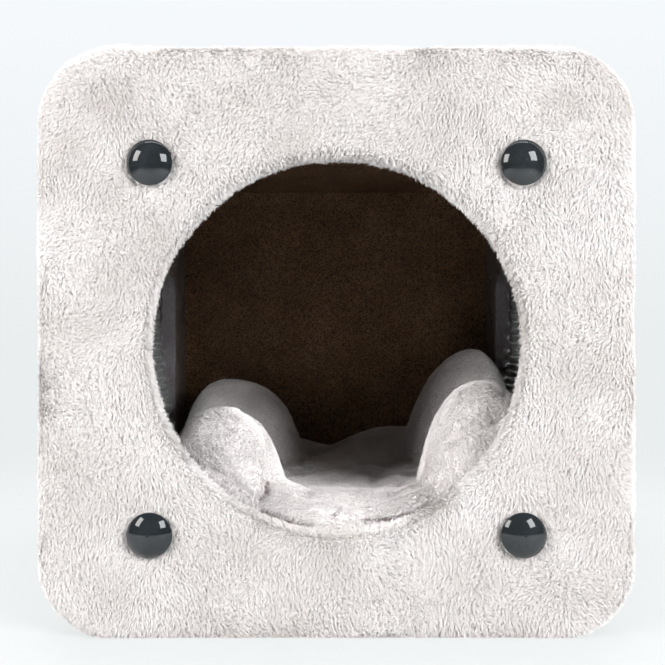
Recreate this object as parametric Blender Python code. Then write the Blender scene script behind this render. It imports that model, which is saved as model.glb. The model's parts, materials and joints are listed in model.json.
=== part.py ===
"""Cat scratching tunnel: a plush-covered box with a round doorway at one end and a closed back.

Metres, +Z up. The doorway faces -Y and the origin lies on the floor under the middle of the tunnel.
Two plush-wrapped end panels are bolted to a box of four boards and four corner rails. Each side board
has a plush-bound window that a mat of sisal rope closes from outside, and a loose cushion lies inside.
"""

import math

import bmesh
import bpy
from mathutils import Vector

# Clearance between pieces that touch
GAP = 0.0003

# End panels
TUNNEL_LENGTH = 0.450
PANEL_WIDTH = 0.400
PANEL_HEIGHT = 0.397
PANEL_CORNER = 0.050
PANEL_BOARD = 0.015
PLUSH = 0.004
PLUSH_ROUNDING = 0.008
HEM = 0.0024
HEM_WIDTH = 0.030
DOOR_RADIUS = 0.1268
DOOR_DROP = 0.0017

# Tunnel box behind the panels
PANEL_OVERHANG = 0.005
COVER = 0.0042
WALL = 0.014
RAIL_RADIUS = 0.040
FRAME_BOARD = 0.012
FRAME_OPENING_MARGIN = 0.0115
BACK_BOARD = 0.0127

# Windows in the side boards, measured from the floor, the ceiling and the two ends inside
WINDOW_SILL = 0.060
WINDOW_HEAD = 0.100
WINDOW_END = 0.049
WINDOW_CORNER = 0.022

# Plush binding round each window
BINDING = 0.0012
BINDING_REVEAL = 0.0035
BINDING_ABOVE = 0.0455
BINDING_LAP = 0.010

# Sisal mat over each window and the frame that holds it
ROPE_DIAMETER = 0.0069
ROPE_SPACING = 0.0005
MAT_LAP = 0.0085
SAG_DEPTH = 0.0135
SAG_PEAK = 0.023
SAG_TOP = 0.040
FRAME_FOOT = 0.0155
FRAME_LIP = 0.010
FRAME_FACE = 0.0036
FRAME_ROUNDING = 0.003
FRAME_CORNER = 0.030
FRAME_INNER_CORNER = 0.006

# Bolts: distances from the panel's edges to their axes
BOLT_INSET_SIDE = 0.075
BOLT_INSET_TOP = 0.078
BOLT_INSET_BOTTOM = 0.070
BOLT_DIAMETER = 0.006
BOLT_HEAD_DIAMETER = 0.014
BOLT_HEAD_HEIGHT = 0.0033
BOLT_HEAD_CROWN = 0.7
BOLT_SOCKET_WIDTH = 0.004
BOLT_SOCKET_DEPTH = 0.002
BOLT_TIP = 0.0006
NUT_WALL = 0.0021
NUT_FLANGE_DIAMETER = 0.022
NUT_FLANGE = 0.0015
NUT_BARREL = 0.009
INSERT_LENGTH = 0.010

# Two-piece bolt covers
CAP_DIAMETER = 0.031
CAP_HEIGHT = 0.0092
CAP_WALL = 0.0015
CAP_SKIRT = 0.0024
CAP_RIM = 0.0005
BASE_FLOOR = 0.0015
BASE_HEIGHT = 0.0022
BASE_WALL = 0.0016

# Loose cushion
CUSHION_SIDE_CLEARANCE = 0.003
CUSHION_END_CLEARANCE = 0.006
CUSHION_CORNER = 0.045
CUSHION_OVER_RAIL = 0.0012
CUSHION_BED = 0.047
FRONT_ROLL = 0.054
BACK_FOLD = 0.0765
BACK_LEFT_FOLD = 0.074
NEAR_LEFT_FOLD = 0.118
FAR_LEFT_FOLD = 0.130
NEAR_RIGHT_FOLD = 0.140
FAR_RIGHT_FOLD = 0.166
FOLD_FOOT = 0.030
FOLD_BLEND = 0.007
FOLD_SLOPE = 1.3
CROWN_RISE = 1.35
CROWN_FULLNESS = 0.8

# The cushion's folds: the middle of each and its reach to the left, right, front and back, as shares of the
# cushion's half width and half length, then its height over the floor and its fullness
FOLDS = (
    ((-0.50, -0.66), (0.35, 0.27, 0.37, 0.50), NEAR_LEFT_FOLD, 2.2),
    ((-0.635, 0.53), (0.30, 0.43, 0.54, 0.48), FAR_LEFT_FOLD, 2.5),
    ((0.71, -0.66), (0.31, 0.32, 0.37, 0.48), NEAR_RIGHT_FOLD, 2.6),
    ((0.865, 0.42), (0.45, 0.24, 0.57, 0.58), FAR_RIGHT_FOLD, 2.3),
    ((0.43, 0.76), (0.50, 0.41, 0.52, 0.30), BACK_FOLD, 2.2),
    ((-0.44, 0.80), (0.30, 0.50, 0.30, 0.25), BACK_LEFT_FOLD, 1.8),
    ((0.03, -0.77), (0.66, 0.62, 0.25, 0.20), FRONT_ROLL, 2.0),
)

# Facets
CORNER_STEPS = 5
EDGE_STEPS = 6
ROUND_STEPS = 16
FASTENER_STEPS = 12
ROPE_SIDES = 6
ROPE_TURN = (-45, 0, 45)
CUSHION_CELLS = 28
CUSHION_SHARP = 60
SOFT_EDGE = (0, 45, 90)
DOME_SHARES = (0, 0.25, 0.5, 0.75, 1)
HOLLOW_SHARES = (1, 0.5, 0)
MAT_SAMPLES = 400

CORNERS = {
    "top_left": (-1, 1),
    "top_right": (1, 1),
    "bottom_left": (-1, -1),
    "bottom_right": (1, -1),
}
SIDES = {"left": -1, "right": 1}

# Planes along the tunnel
FRONT = -TUNNEL_LENGTH / 2
REAR = TUNNEL_LENGTH / 2
PANEL_THICKNESS = PLUSH + GAP + PANEL_BOARD + GAP + HEM
BOX_FRONT = FRONT + PANEL_THICKNESS + GAP
BOX_REAR = REAR - PANEL_THICKNESS - GAP
INSIDE_FRONT = BOX_FRONT + FRAME_BOARD
INSIDE_REAR = BOX_REAR - BACK_BOARD

# Heights and half sizes across the tunnel
CENTRE = PANEL_HEIGHT / 2
DOOR_HEIGHT = CENTRE - DOOR_DROP
PANEL_HALF = (PANEL_WIDTH / 2, PANEL_HEIGHT / 2)
COVER_HALF = tuple(half - PANEL_OVERHANG for half in PANEL_HALF)
CORE_HALF = tuple(half - COVER - GAP for half in COVER_HALF)
RAIL_START = tuple(half - RAIL_RADIUS for half in CORE_HALF)
INSIDE_HALF = tuple(half - WALL for half in CORE_HALF)
FLOOR = CENTRE - INSIDE_HALF[1]
CEILING = CENTRE + INSIDE_HALF[1]
BOARD_EDGE = tuple(start - GAP for start in RAIL_START)

# Stack of layers at a window, from the inside out
BINDING_INSIDE = INSIDE_HALF[0] - GAP - BINDING
BINDING_OUTSIDE = CORE_HALF[0] + GAP + BINDING
MAT_INSIDE = BINDING_OUTSIDE + GAP
LIP_INSIDE = MAT_INSIDE + ROPE_DIAMETER + GAP
FRAME_OUTSIDE = LIP_INSIDE + FRAME_FACE

# Bolt parts
BASE_INSIDE_RADIUS = BOLT_DIAMETER / 2 + GAP
BASE_RADIUS = CAP_DIAMETER / 2 - CAP_WALL - GAP
BOLT_HOLE_RADIUS = BOLT_DIAMETER / 2 + GAP
NUT_RADIUS = BOLT_HOLE_RADIUS + NUT_WALL
HEAD_SEAT = GAP + BASE_FLOOR + GAP


def material(name, colour, roughness, metallic=0.0):
    """A plain Principled finish."""
    finish = bpy.data.materials.new(name)
    finish.use_nodes = True
    shader = finish.node_tree.nodes["Principled BSDF"]
    shader.inputs["Base Color"].default_value = (*colour, 1.0)
    shader.inputs["Roughness"].default_value = roughness
    shader.inputs["Metallic"].default_value = metallic
    return finish


def add_object(name, mesh, finish, location=(0, 0, 0), turn=0.0):
    """Put a mesh in the scene under a name, turned about +Z."""
    piece = bpy.data.objects.new(name, mesh)
    piece.location = location
    piece.rotation_euler = (0, 0, turn)
    if finish is not None and not mesh.materials:
        mesh.materials.append(finish)
    bpy.context.scene.collection.objects.link(piece)
    return piece


def finish_mesh(shape, name, sharp=35):
    """Turn a closed bmesh into a mesh whose faces point out, smooth except at its sharp edges."""
    bmesh.ops.recalc_face_normals(shape, faces=shape.faces)
    mesh = bpy.data.meshes.new(name)
    shape.to_mesh(mesh)
    shape.free()
    mesh.shade_smooth()
    mesh.set_sharp_from_angle(angle=math.radians(sharp))
    return mesh


def skin(name, rings, closed=False):
    """Skin a run of rings; a ring of one point is a tip, a closed run joins its last ring to its first."""
    shape = bmesh.new()
    loops = [[shape.verts.new(point) for point in ring] for ring in rings]
    pairs = list(zip(loops, loops[1:]))
    if closed:
        pairs.append((loops[-1], loops[0]))
    for low, high in pairs:
        count = max(len(low), len(high))
        for i in range(count):
            j = (i + 1) % count
            if len(low) == 1:
                shape.faces.new((low[0], high[j], high[i]))
            elif len(high) == 1:
                shape.faces.new((low[i], low[j], high[0]))
            else:
                shape.faces.new((low[i], low[j], high[j], high[i]))
    if not closed:
        for loop in (loops[0], loops[-1]):
            if len(loop) > 1:
                shape.faces.new(loop)
    return finish_mesh(shape, name)


def arc(centre, radius, start, end, steps):
    """Points on an arc, angles in degrees."""
    points = []
    for i in range(steps + 1):
        angle = math.radians(start + (end - start) * i / steps)
        points.append((centre[0] + radius * math.cos(angle), centre[1] + radius * math.sin(angle)))
    return points


def rounded_rectangle(low, high, radius, edge_steps=1):
    """Outline between two corners, with the same count of points whatever its size."""
    radius = min(radius, (high[0] - low[0]) / 2, (high[1] - low[1]) / 2)
    centres = [
        (high[0] - radius, high[1] - radius),
        (low[0] + radius, high[1] - radius),
        (low[0] + radius, low[1] + radius),
        (high[0] - radius, low[1] + radius),
    ]
    outline = []
    for quarter, centre in enumerate(centres):
        corner = arc(centre, radius, 90 * quarter, 90 * quarter + 90, CORNER_STEPS)
        following = centres[(quarter + 1) % 4]
        turn = math.radians(90 * quarter + 90)
        start = Vector(corner[-1])
        end = Vector((following[0] + radius * math.cos(turn), following[1] + radius * math.sin(turn)))
        outline += corner
        outline += [tuple(start.lerp(end, i / edge_steps)) for i in range(1, edge_steps)]
    return outline


def panel_outline(inset, edge_steps=1):
    """The end panel's outline, drawn in from its edge."""
    half = [size - inset for size in PANEL_HALF]
    return rounded_rectangle((-half[0], -half[1]), half, PANEL_CORNER - inset, edge_steps)


def door_outline(radius):
    """The doorway's circle, with one point for each point of the panel's outline."""
    outline = []
    for x, z in panel_outline(0, EDGE_STEPS):
        reach = math.hypot(x, z)
        outline.append((radius * x / reach, radius * z / reach))
    return outline


def upright(outline, y, height=CENTRE):
    """Stand a flat outline up across the tunnel, about the centre height or another."""
    return [Vector((x, y, height + z)) for x, z in outline]


def sideways(outline, x):
    """Stand a flat outline of (y, z) points up along the tunnel, in absolute heights."""
    return [Vector((x, y, z)) for y, z in outline]


def turned(name, profile, steps=ROUND_STEPS, closed=False):
    """Turn a profile of (radius, reach) points about the line that runs out of the panel, along -Y."""
    rings = []
    for radius, reach in profile:
        if radius == 0:
            rings.append([Vector((0, -reach, 0))])
            continue
        angles = [2 * math.pi * (i + 0.5) / steps for i in range(steps)]
        rings.append([Vector((radius * math.cos(a), -reach, radius * math.sin(a))) for a in angles])
    return skin(name, rings, closed)


def cutter(name, mesh, location=(0, 0, 0), turn=0.0):
    """A body that only cuts others."""
    piece = add_object(name, mesh, None, location, turn)
    piece.hide_render = True
    piece.display_type = "WIRE"
    return piece


def cut(piece, tool):
    """Subtract one object from another."""
    boolean = piece.modifiers.new("cut " + tool.name, "BOOLEAN")
    boolean.operation = "DIFFERENCE"
    boolean.solver = "EXACT"
    boolean.object = tool


def bolt_place(corner):
    """Where a bolt's axis stands, as x and height."""
    side, level = CORNERS[corner]
    height = PANEL_HEIGHT - BOLT_INSET_TOP if level > 0 else BOLT_INSET_BOTTOM
    return side * (PANEL_HALF[0] - BOLT_INSET_SIDE), height


def drill(piece, label, radius, low, high):
    """Four round holes along the tunnel, at the bolts."""
    for corner in CORNERS:
        x, z = bolt_place(corner)
        mesh = turned(label, [(0, -high), (radius, -high), (radius, -low), (0, -low)])
        cut(piece, cutter(f"{label}_{corner}", mesh, (x, 0, z)))


# End panels

def plush_section(face, back):
    """Cross-section of plush over one edge: points of (inset from the edge, y) from the back to the face."""
    inward = PLUSH_ROUNDING if back > face else -PLUSH_ROUNDING
    points = [(HEM_WIDTH, back)]
    for level, direction, angles in ((back, -inward, SOFT_EDGE), (face, inward, SOFT_EDGE[::-1])):
        for angle in angles:
            turn = math.radians(angle)
            inset = PLUSH_ROUNDING * (1 - math.sin(turn))
            points.append((inset, level + direction * (1 - math.cos(turn))))
    return points


def front_panel(finishes):
    """The doorway panel: a board with a round hole, wrapped in plush that is folded over its back."""
    back = FRONT + PANEL_THICKNESS
    inner_face = FRONT + PLUSH
    inner_back = back - HEM
    door_hem = DOOR_RADIUS + HEM_WIDTH
    section = plush_section(FRONT, back)
    door_inner = DOOR_RADIUS + PLUSH
    door_lining = ((door_hem, inner_back), (door_inner, inner_back), (door_inner, inner_face))
    edge_lining = ((PLUSH, inner_face), (PLUSH, inner_back), (HEM_WIDTH, inner_back))
    rings = [upright(panel_outline(inset, EDGE_STEPS), y) for inset, y in section]
    rings += [upright(door_outline(DOOR_RADIUS + inset), y, DOOR_HEIGHT) for inset, y in reversed(section)]
    rings += [upright(door_outline(radius), y, DOOR_HEIGHT) for radius, y in door_lining]
    rings += [upright(panel_outline(inset, EDGE_STEPS), y) for inset, y in edge_lining]
    cover = add_object("front_plush_cover", skin("front_plush_cover", rings, True), finishes["plush"])

    board_front = inner_face + GAP
    board_back = board_front + PANEL_BOARD
    hole = door_inner + GAP
    rings = [upright(panel_outline(PLUSH + GAP, EDGE_STEPS), board_front),
             upright(panel_outline(PLUSH + GAP, EDGE_STEPS), board_back),
             upright(door_outline(hole), board_back, DOOR_HEIGHT),
             upright(door_outline(hole), board_front, DOOR_HEIGHT)]
    board = add_object("front_board", skin("front_board", rings, True), finishes["board"])
    drill(cover, "front_cover_hole", BOLT_HOLE_RADIUS, FRONT - PLUSH, board_front)
    drill(board, "front_board_hole", BOLT_HOLE_RADIUS, board_front - PLUSH, board_back + PLUSH)


def rear_panel(finishes):
    """The closed back panel: the same wrapped board without the doorway."""
    back = REAR - PANEL_THICKNESS
    inner_face = REAR - PLUSH
    inner_back = back + HEM
    rings = [upright(panel_outline(PLUSH), inner_face),
             upright(panel_outline(PLUSH), inner_back),
             upright(panel_outline(HEM_WIDTH), inner_back)]
    rings += [upright(panel_outline(inset), y) for inset, y in plush_section(REAR, back)]
    cover = add_object("rear_plush_cover", skin("rear_plush_cover", rings), finishes["plush"])

    board_face = inner_face - GAP
    board_back = board_face - PANEL_BOARD
    rings = [upright(panel_outline(PLUSH + GAP), board_back), upright(panel_outline(PLUSH + GAP), board_face)]
    board = add_object("rear_board", skin("rear_board", rings), finishes["board"])
    drill(cover, "rear_cover_hole", BOLT_HOLE_RADIUS, board_face, REAR + PLUSH)
    drill(board, "rear_board_hole", BOLT_HOLE_RADIUS, board_back - PLUSH, board_face + PLUSH)


# Tunnel box

def notched_outline():
    """The opening between the boards, less the corner rails: the shape of the boards that stand across it."""
    wide = INSIDE_HALF[0] - GAP
    tall = INSIDE_HALF[1] - GAP
    notch = (RAIL_START[0] - GAP, RAIL_START[1] - GAP)
    quarter_points = [(wide, notch[1]), (notch[0], notch[1]), (notch[0], tall)]
    outline = list(quarter_points)
    outline += [(-x, z) for x, z in reversed(quarter_points)]
    outline += [(-x, -z) for x, z in quarter_points]
    outline += [(x, -z) for x, z in reversed(quarter_points)]
    return outline


def cross_boards(finishes):
    """The open frame behind the doorway panel and the closed board behind the back panel."""
    outline = notched_outline()
    rings = [upright(outline, BOX_FRONT), upright(outline, INSIDE_FRONT)]
    frame = add_object("front_frame", skin("front_frame", rings), finishes["hardboard"])
    opening = arc((0, 0), DOOR_RADIUS + FRAME_OPENING_MARGIN, 0, 360, 4 * CORNER_STEPS + 4 * EDGE_STEPS)[:-1]
    rings = [upright(opening, y, DOOR_HEIGHT) for y in (BOX_FRONT - WALL, INSIDE_FRONT + WALL)]
    cut(frame, cutter("frame_opening", skin("frame_opening", rings)))
    drill(frame, "frame_hole", NUT_RADIUS + GAP, BOX_FRONT - WALL, INSIDE_FRONT + WALL)

    rings = [upright(outline, INSIDE_REAR), upright(outline, BOX_REAR)]
    back = add_object("back_board", skin("back_board", rings), finishes["hardboard"])
    drill(back, "insert_hole", NUT_RADIUS + GAP, BOX_REAR - INSERT_LENGTH - GAP, BOX_REAR + WALL)


def box_mesh(name, low, high):
    """A straight-sided board between two corners."""
    outline = [(low[0], low[2]), (high[0], low[2]), (high[0], high[2]), (low[0], high[2])]
    rings = [[Vector((x, y, z)) for x, z in outline] for y in (low[1], high[1])]
    return skin(name, rings)


def window_bounds():
    """Low and high corners of a window, as (y, z)."""
    return (INSIDE_FRONT + WINDOW_END, FLOOR + WINDOW_SILL), (INSIDE_REAR - WINDOW_END, CEILING - WINDOW_HEAD)


def window_outline(offset, corner=None):
    """The window's outline grown by an offset, with its own corner radius where one is given."""
    low, high = window_bounds()
    radius = WINDOW_CORNER + offset if corner is None else corner
    return rounded_rectangle((low[0] - offset, low[1] - offset), (high[0] + offset, high[1] + offset), radius)


def box_boards(finishes):
    """Floor, ceiling and two side boards with their windows, and the rails in the four corners."""
    for name, level in (("top_board", 1), ("bottom_board", -1)):
        heights = sorted((CENTRE + level * INSIDE_HALF[1], CENTRE + level * CORE_HALF[1]))
        mesh = box_mesh(name, (-BOARD_EDGE[0], BOX_FRONT, heights[0]), (BOARD_EDGE[0], BOX_REAR, heights[1]))
        add_object(name, mesh, finishes["hardboard"])
    for name, side in SIDES.items():
        walls = sorted((side * INSIDE_HALF[0], side * CORE_HALF[0]))
        mesh = box_mesh(f"{name}_side_board", (walls[0], BOX_FRONT, CENTRE - BOARD_EDGE[1]),
                        (walls[1], BOX_REAR, CENTRE + BOARD_EDGE[1]))
        board = add_object(f"{name}_side_board", mesh, finishes["hardboard"])
        rings = [sideways(window_outline(0), side * INSIDE_HALF[0] - WALL),
                 sideways(window_outline(0), side * CORE_HALF[0] + WALL)]
        cut(board, cutter(f"{name}_window", skin(f"{name}_window", rings)))
    for name, (side, level) in CORNERS.items():
        outline = [RAIL_START] + arc(RAIL_START, RAIL_RADIUS, 0, 90, CORNER_STEPS)
        outline = [(side * x, level * z) for x, z in outline]
        rings = [upright(outline, BOX_FRONT), upright(outline, BOX_REAR)]
        add_object(f"corner_rail_{name}", skin(f"corner_rail_{name}", rings), finishes["softwood"])


def body_cover(finishes):
    """The plush sleeve round the box, open where the two mat frames stand."""
    radius = RAIL_RADIUS + GAP
    inner_half = (CORE_HALF[0] + GAP, CORE_HALF[1] + GAP)
    inner = rounded_rectangle((-inner_half[0], -inner_half[1]), inner_half, radius)
    outer = rounded_rectangle((-COVER_HALF[0], -COVER_HALF[1]), COVER_HALF, radius + COVER)
    rings = [upright(outer, BOX_FRONT), upright(outer, BOX_REAR)]
    rings += [upright(inner, BOX_REAR), upright(inner, BOX_FRONT)]
    sleeve = add_object("body_cover", skin("body_cover", rings, True), finishes["plush"])
    outline = window_outline(BINDING_LAP + GAP + FRAME_FOOT + GAP, FRAME_CORNER + GAP)
    rings = [sideways(outline, -PANEL_WIDTH), sideways(outline, PANEL_WIDTH)]
    cut(sleeve, cutter("sleeve_openings", skin("sleeve_openings", rings)))


# Windows

def window_binding(name, side, finishes):
    """Plush wrapped round the window's edge, wide on the inside and narrow on the outside."""
    low, high = window_bounds()
    reach = WINDOW_END - BINDING_REVEAL
    foot = CENTRE - BOARD_EDGE[1] + BINDING_REVEAL
    head = high[1] + BINDING_ABOVE
    flange = rounded_rectangle((low[0] - reach, foot), (high[0] + reach, head), WINDOW_CORNER)
    lining = window_outline(-GAP - BINDING)
    edge = window_outline(-GAP)
    lap = window_outline(BINDING_LAP)
    board_inside = INSIDE_HALF[0] - GAP
    board_outside = CORE_HALF[0] + GAP
    rings = [(flange, board_inside), (flange, BINDING_INSIDE), (lining, BINDING_INSIDE)]
    rings += [(lining, BINDING_OUTSIDE), (lap, BINDING_OUTSIDE), (lap, board_outside)]
    rings += [(edge, board_outside), (edge, board_inside)]
    rings = [sideways(outline, side * x) for outline, x in rings]
    add_object(f"{name}_window_binding", skin(f"{name}_window_binding", rings, True), finishes["plush"])


def mat_sag(height):
    """How far the mat hangs into the window at a height: most near its foot, nothing at its ends."""
    low, high = window_bounds()
    foot = low[1] + WINDOW_CORNER
    peak = foot + SAG_PEAK
    top = high[1] - SAG_TOP
    if height <= foot or height >= top:
        return 0.0
    if height < peak:
        return SAG_DEPTH * math.sin(math.pi / 2 * (height - foot) / (peak - foot)) ** 2
    return SAG_DEPTH * ((top - height) / (top - peak)) ** 2


def mat_rows():
    """Middle of each rope row as (distance from the middle plane, height), evenly spaced along the mat."""
    low, high = window_bounds()
    start = low[1] - MAT_LAP + ROPE_DIAMETER / 2
    end = high[1] + MAT_LAP - ROPE_DIAMETER / 2
    plane = MAT_INSIDE + ROPE_DIAMETER / 2
    line = []
    for i in range(MAT_SAMPLES + 1):
        height = start + (end - start) * i / MAT_SAMPLES
        line.append(Vector((plane - mat_sag(height), height)))
    lengths = [0.0]
    for before, after in zip(line, line[1:]):
        lengths.append(lengths[-1] + (after - before).length)
    rows = int(lengths[-1] / (ROPE_DIAMETER + ROPE_SPACING)) + 1
    middles = []
    for row in range(rows):
        target = lengths[-1] * row / (rows - 1)
        index = max(i for i, length in enumerate(lengths[:-1]) if length <= target)
        share = (target - lengths[index]) / (lengths[index + 1] - lengths[index])
        middles.append(line[index].lerp(line[index + 1], min(share, 1.0)))
    return middles


def mat_route():
    """The rope's line: rows along the tunnel, each joined to the next by a half turn at its end."""
    low, high = window_bounds()
    middles = mat_rows()
    clear = GAP + BINDING + GAP + ROPE_DIAMETER / 2
    pitch = (middles[1] - middles[0]).length
    ends = (low[0] + clear + pitch / 2, high[0] - clear - pitch / 2)
    route = [Vector((middles[0].x, ends[0], middles[0].y))]
    for row, middle in enumerate(middles):
        far = ends[(row + 1) % 2]
        outward = 1 if row % 2 == 0 else -1
        route.append(Vector((middle.x, far, middle.y)))
        if row + 1 == len(middles):
            break
        following = middles[row + 1]
        half = (following - middle) / 2
        hub = middle + half
        for angle in ROPE_TURN:
            turn = math.radians(angle)
            across = hub + half * math.sin(turn)
            route.append(Vector((across.x, far + outward * half.length * math.cos(turn), across.y)))
        route.append(Vector((following.x, far, following.y)))
    return route


def least_gap(route):
    """Least clear distance between the rope and itself, on points a diameter apart."""
    points = []
    for before, after in zip(route, route[1:]):
        pieces = max(1, round((after - before).length / ROPE_DIAMETER))
        points += [before.lerp(after, i / pieces) for i in range(pieces)]
    least = math.inf
    travelled = [0.0]
    for before, after in zip(points, points[1:]):
        travelled.append(travelled[-1] + (after - before).length)
    for i, point in enumerate(points):
        for j in range(i + 1, len(points)):
            if travelled[j] - travelled[i] > 2 * ROPE_DIAMETER:
                least = min(least, (points[j] - point).length - ROPE_DIAMETER)
    return least


def sisal_mat(name, side, route, finishes):
    """One rope laid to and fro, as a tube of few sides."""
    radius = ROPE_DIAMETER / 2
    rings = []
    for i, point in enumerate(route):
        before = route[max(i - 1, 0)]
        after = route[min(i + 1, len(route) - 1)]
        along = ((point - before).normalized() + (after - point).normalized()).normalized()
        if i in (0, len(route) - 1):
            along = (after - before).normalized()
        outward = Vector((1, 0, 0))
        outward = (outward - along * outward.dot(along)).normalized()
        across = along.cross(outward)
        ring = []
        for k in range(ROPE_SIDES):
            angle = 2 * math.pi * (k + 0.5) / ROPE_SIDES
            spot = point + radius * (math.cos(angle) * outward + math.sin(angle) * across)
            ring.append(Vector((side * spot.x, spot.y, spot.z)))
        rings.append(ring)
    add_object(f"{name}_sisal_mat", skin(f"{name}_sisal_mat", rings), finishes["sisal"])


def mat_frame(name, side, finishes):
    """The plush-wrapped frame whose lip laps the mat from outside."""
    inner = BINDING_LAP + GAP
    outer = inner + FRAME_FOOT
    foot = CORE_HALF[0] + GAP
    soft = FRAME_ROUNDING
    slope = soft * math.sin(math.radians(45))
    section = [
        (inner, foot, FRAME_INNER_CORNER),
        (outer, foot, FRAME_CORNER),
        (outer, FRAME_OUTSIDE - soft, FRAME_CORNER),
        (outer - soft + slope, FRAME_OUTSIDE - soft + slope, FRAME_CORNER - soft + slope),
        (outer - soft, FRAME_OUTSIDE, FRAME_CORNER - soft),
        (soft - FRAME_LIP, FRAME_OUTSIDE, None),
        (soft - FRAME_LIP - slope, FRAME_OUTSIDE - soft + slope, None),
        (-FRAME_LIP, FRAME_OUTSIDE - soft, None),
        (-FRAME_LIP, LIP_INSIDE, None),
        (inner, LIP_INSIDE, FRAME_INNER_CORNER),
    ]
    rings = [sideways(window_outline(offset, corner), side * x) for offset, x, corner in section]
    add_object(f"{name}_mat_frame", skin(f"{name}_mat_frame", rings, True), finishes["plush"])


# Fasteners

def bolt_mesh(name, length):
    """A socket-head furniture bolt; reach 0 is the panel's plush face."""
    radius = BOLT_DIAMETER / 2
    head = BOLT_HEAD_DIAMETER / 2
    top = HEAD_SEAT + BOLT_HEAD_HEIGHT
    socket = BOLT_SOCKET_WIDTH / 2
    profile = [(0, top - BOLT_SOCKET_DEPTH), (socket, top - BOLT_SOCKET_DEPTH), (socket, top)]
    profile += [(head * BOLT_HEAD_CROWN, top), (head, top - BOLT_HEAD_HEIGHT / 2), (head, HEAD_SEAT)]
    profile += [(radius, HEAD_SEAT), (radius, HEAD_SEAT - length), (0, HEAD_SEAT - length)]
    return turned(name, profile, FASTENER_STEPS)


def dome(radius, height, seat, shares):
    """Profile of a spherical dome as (radius, reach), at shares of the way from its top to its rim."""
    ball = (radius * radius + height * height) / (2 * height)
    half_angle = math.asin(radius / ball)
    profile = []
    for share in shares:
        angle = half_angle * share
        profile.append((ball * math.sin(angle), seat + height - ball * (1 - math.cos(angle))))
    return profile


def cap_mesh():
    """A thin dome that snaps over its base: hollow inside, its rim on the plush."""
    radius = CAP_DIAMETER / 2
    inner = radius - CAP_WALL
    seat = GAP + CAP_SKIRT
    height = CAP_HEIGHT - CAP_SKIRT
    profile = dome(radius, height, seat, DOME_SHARES)
    profile += [(radius - CAP_RIM, GAP), (inner, GAP)]
    profile += dome(inner, height - CAP_WALL, seat, HOLLOW_SHARES)
    return turned("bolt_cap", profile)


def base_mesh():
    """The washer under the bolt head whose collar holds the cap."""
    outer = BASE_RADIUS
    inner = outer - BASE_WALL
    profile = [(BASE_INSIDE_RADIUS, GAP), (outer, GAP), (outer, GAP + BASE_HEIGHT)]
    profile += [(inner, GAP + BASE_HEIGHT), (inner, GAP + BASE_FLOOR), (BASE_INSIDE_RADIUS, GAP + BASE_FLOOR)]
    return turned("cap_base", profile, FASTENER_STEPS, closed=True)


def nut_mesh():
    """A tee nut: a flange against the frame and a barrel in its hole, reach 0 at the frame's inner face."""
    flange = NUT_FLANGE_DIAMETER / 2
    profile = [(BOLT_HOLE_RADIUS, -GAP - NUT_FLANGE), (flange, -GAP - NUT_FLANGE), (flange, -GAP),
               (NUT_RADIUS, -GAP), (NUT_RADIUS, NUT_BARREL), (BOLT_HOLE_RADIUS, NUT_BARREL)]
    return turned("tee_nut", profile, FASTENER_STEPS, closed=True)


def insert_mesh():
    """A threaded insert sunk in the back board, reach 0 at the board's outer face."""
    profile = [(BOLT_HOLE_RADIUS, -INSERT_LENGTH), (NUT_RADIUS, -INSERT_LENGTH)]
    profile += [(NUT_RADIUS, 0), (BOLT_HOLE_RADIUS, 0)]
    return turned("threaded_insert", profile, FASTENER_STEPS, closed=True)


def fasteners(finishes):
    """Four bolts at each end, each with its cap, its base and what it screws into."""
    nut_depth = PANEL_THICKNESS + GAP + FRAME_BOARD + GAP + NUT_FLANGE + BOLT_TIP
    insert_depth = PANEL_THICKNESS + GAP + INSERT_LENGTH - BOLT_TIP
    cap = cap_mesh()
    base = base_mesh()
    front_bolt = bolt_mesh("front_bolt", nut_depth + HEAD_SEAT)
    rear_bolt = bolt_mesh("rear_bolt", insert_depth + HEAD_SEAT)
    nut = nut_mesh()
    insert = insert_mesh()
    for corner in CORNERS:
        x, z = bolt_place(corner)
        ahead = (x, FRONT, z)
        behind = (x, REAR, z)
        add_object(f"front_bolt_{corner}", front_bolt, finishes["zinc"], ahead)
        add_object(f"front_cap_base_{corner}", base, finishes["black_matte"], ahead)
        add_object(f"front_cap_{corner}", cap, finishes["black_gloss"], ahead)
        add_object(f"front_tee_nut_{corner}", nut, finishes["zinc"], (x, INSIDE_FRONT, z))
        add_object(f"rear_bolt_{corner}", rear_bolt, finishes["zinc"], behind, math.pi)
        add_object(f"rear_cap_base_{corner}", base, finishes["black_matte"], behind, math.pi)
        add_object(f"rear_cap_{corner}", cap, finishes["black_gloss"], behind, math.pi)
        add_object(f"rear_insert_{corner}", insert, finishes["brass"], (x, BOX_REAR, z), math.pi)


# Cushion

def cushion_height(across, along, wide, long):
    """Height of the cushion's top over the floor: a low bed among rolls that press against each other."""
    heights = [CUSHION_BED]
    for (middle_x, middle_y), (left, right, front, back), top, fullness in FOLDS:
        sideways_share = abs(across / wide - middle_x) / (left if across < middle_x * wide else right)
        lengthways_share = abs(along / long - middle_y) / (front if along < middle_y * long else back)
        inside = max(0.0, 1 - sideways_share ** fullness - lengthways_share ** fullness)
        heights.append(FOLD_FOOT + (top - FOLD_FOOT) * inside ** (FOLD_SLOPE / fullness))
    most = max(heights)
    return most + FOLD_BLEND * math.log(sum(math.exp((height - most) / FOLD_BLEND) for height in heights))


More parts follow.
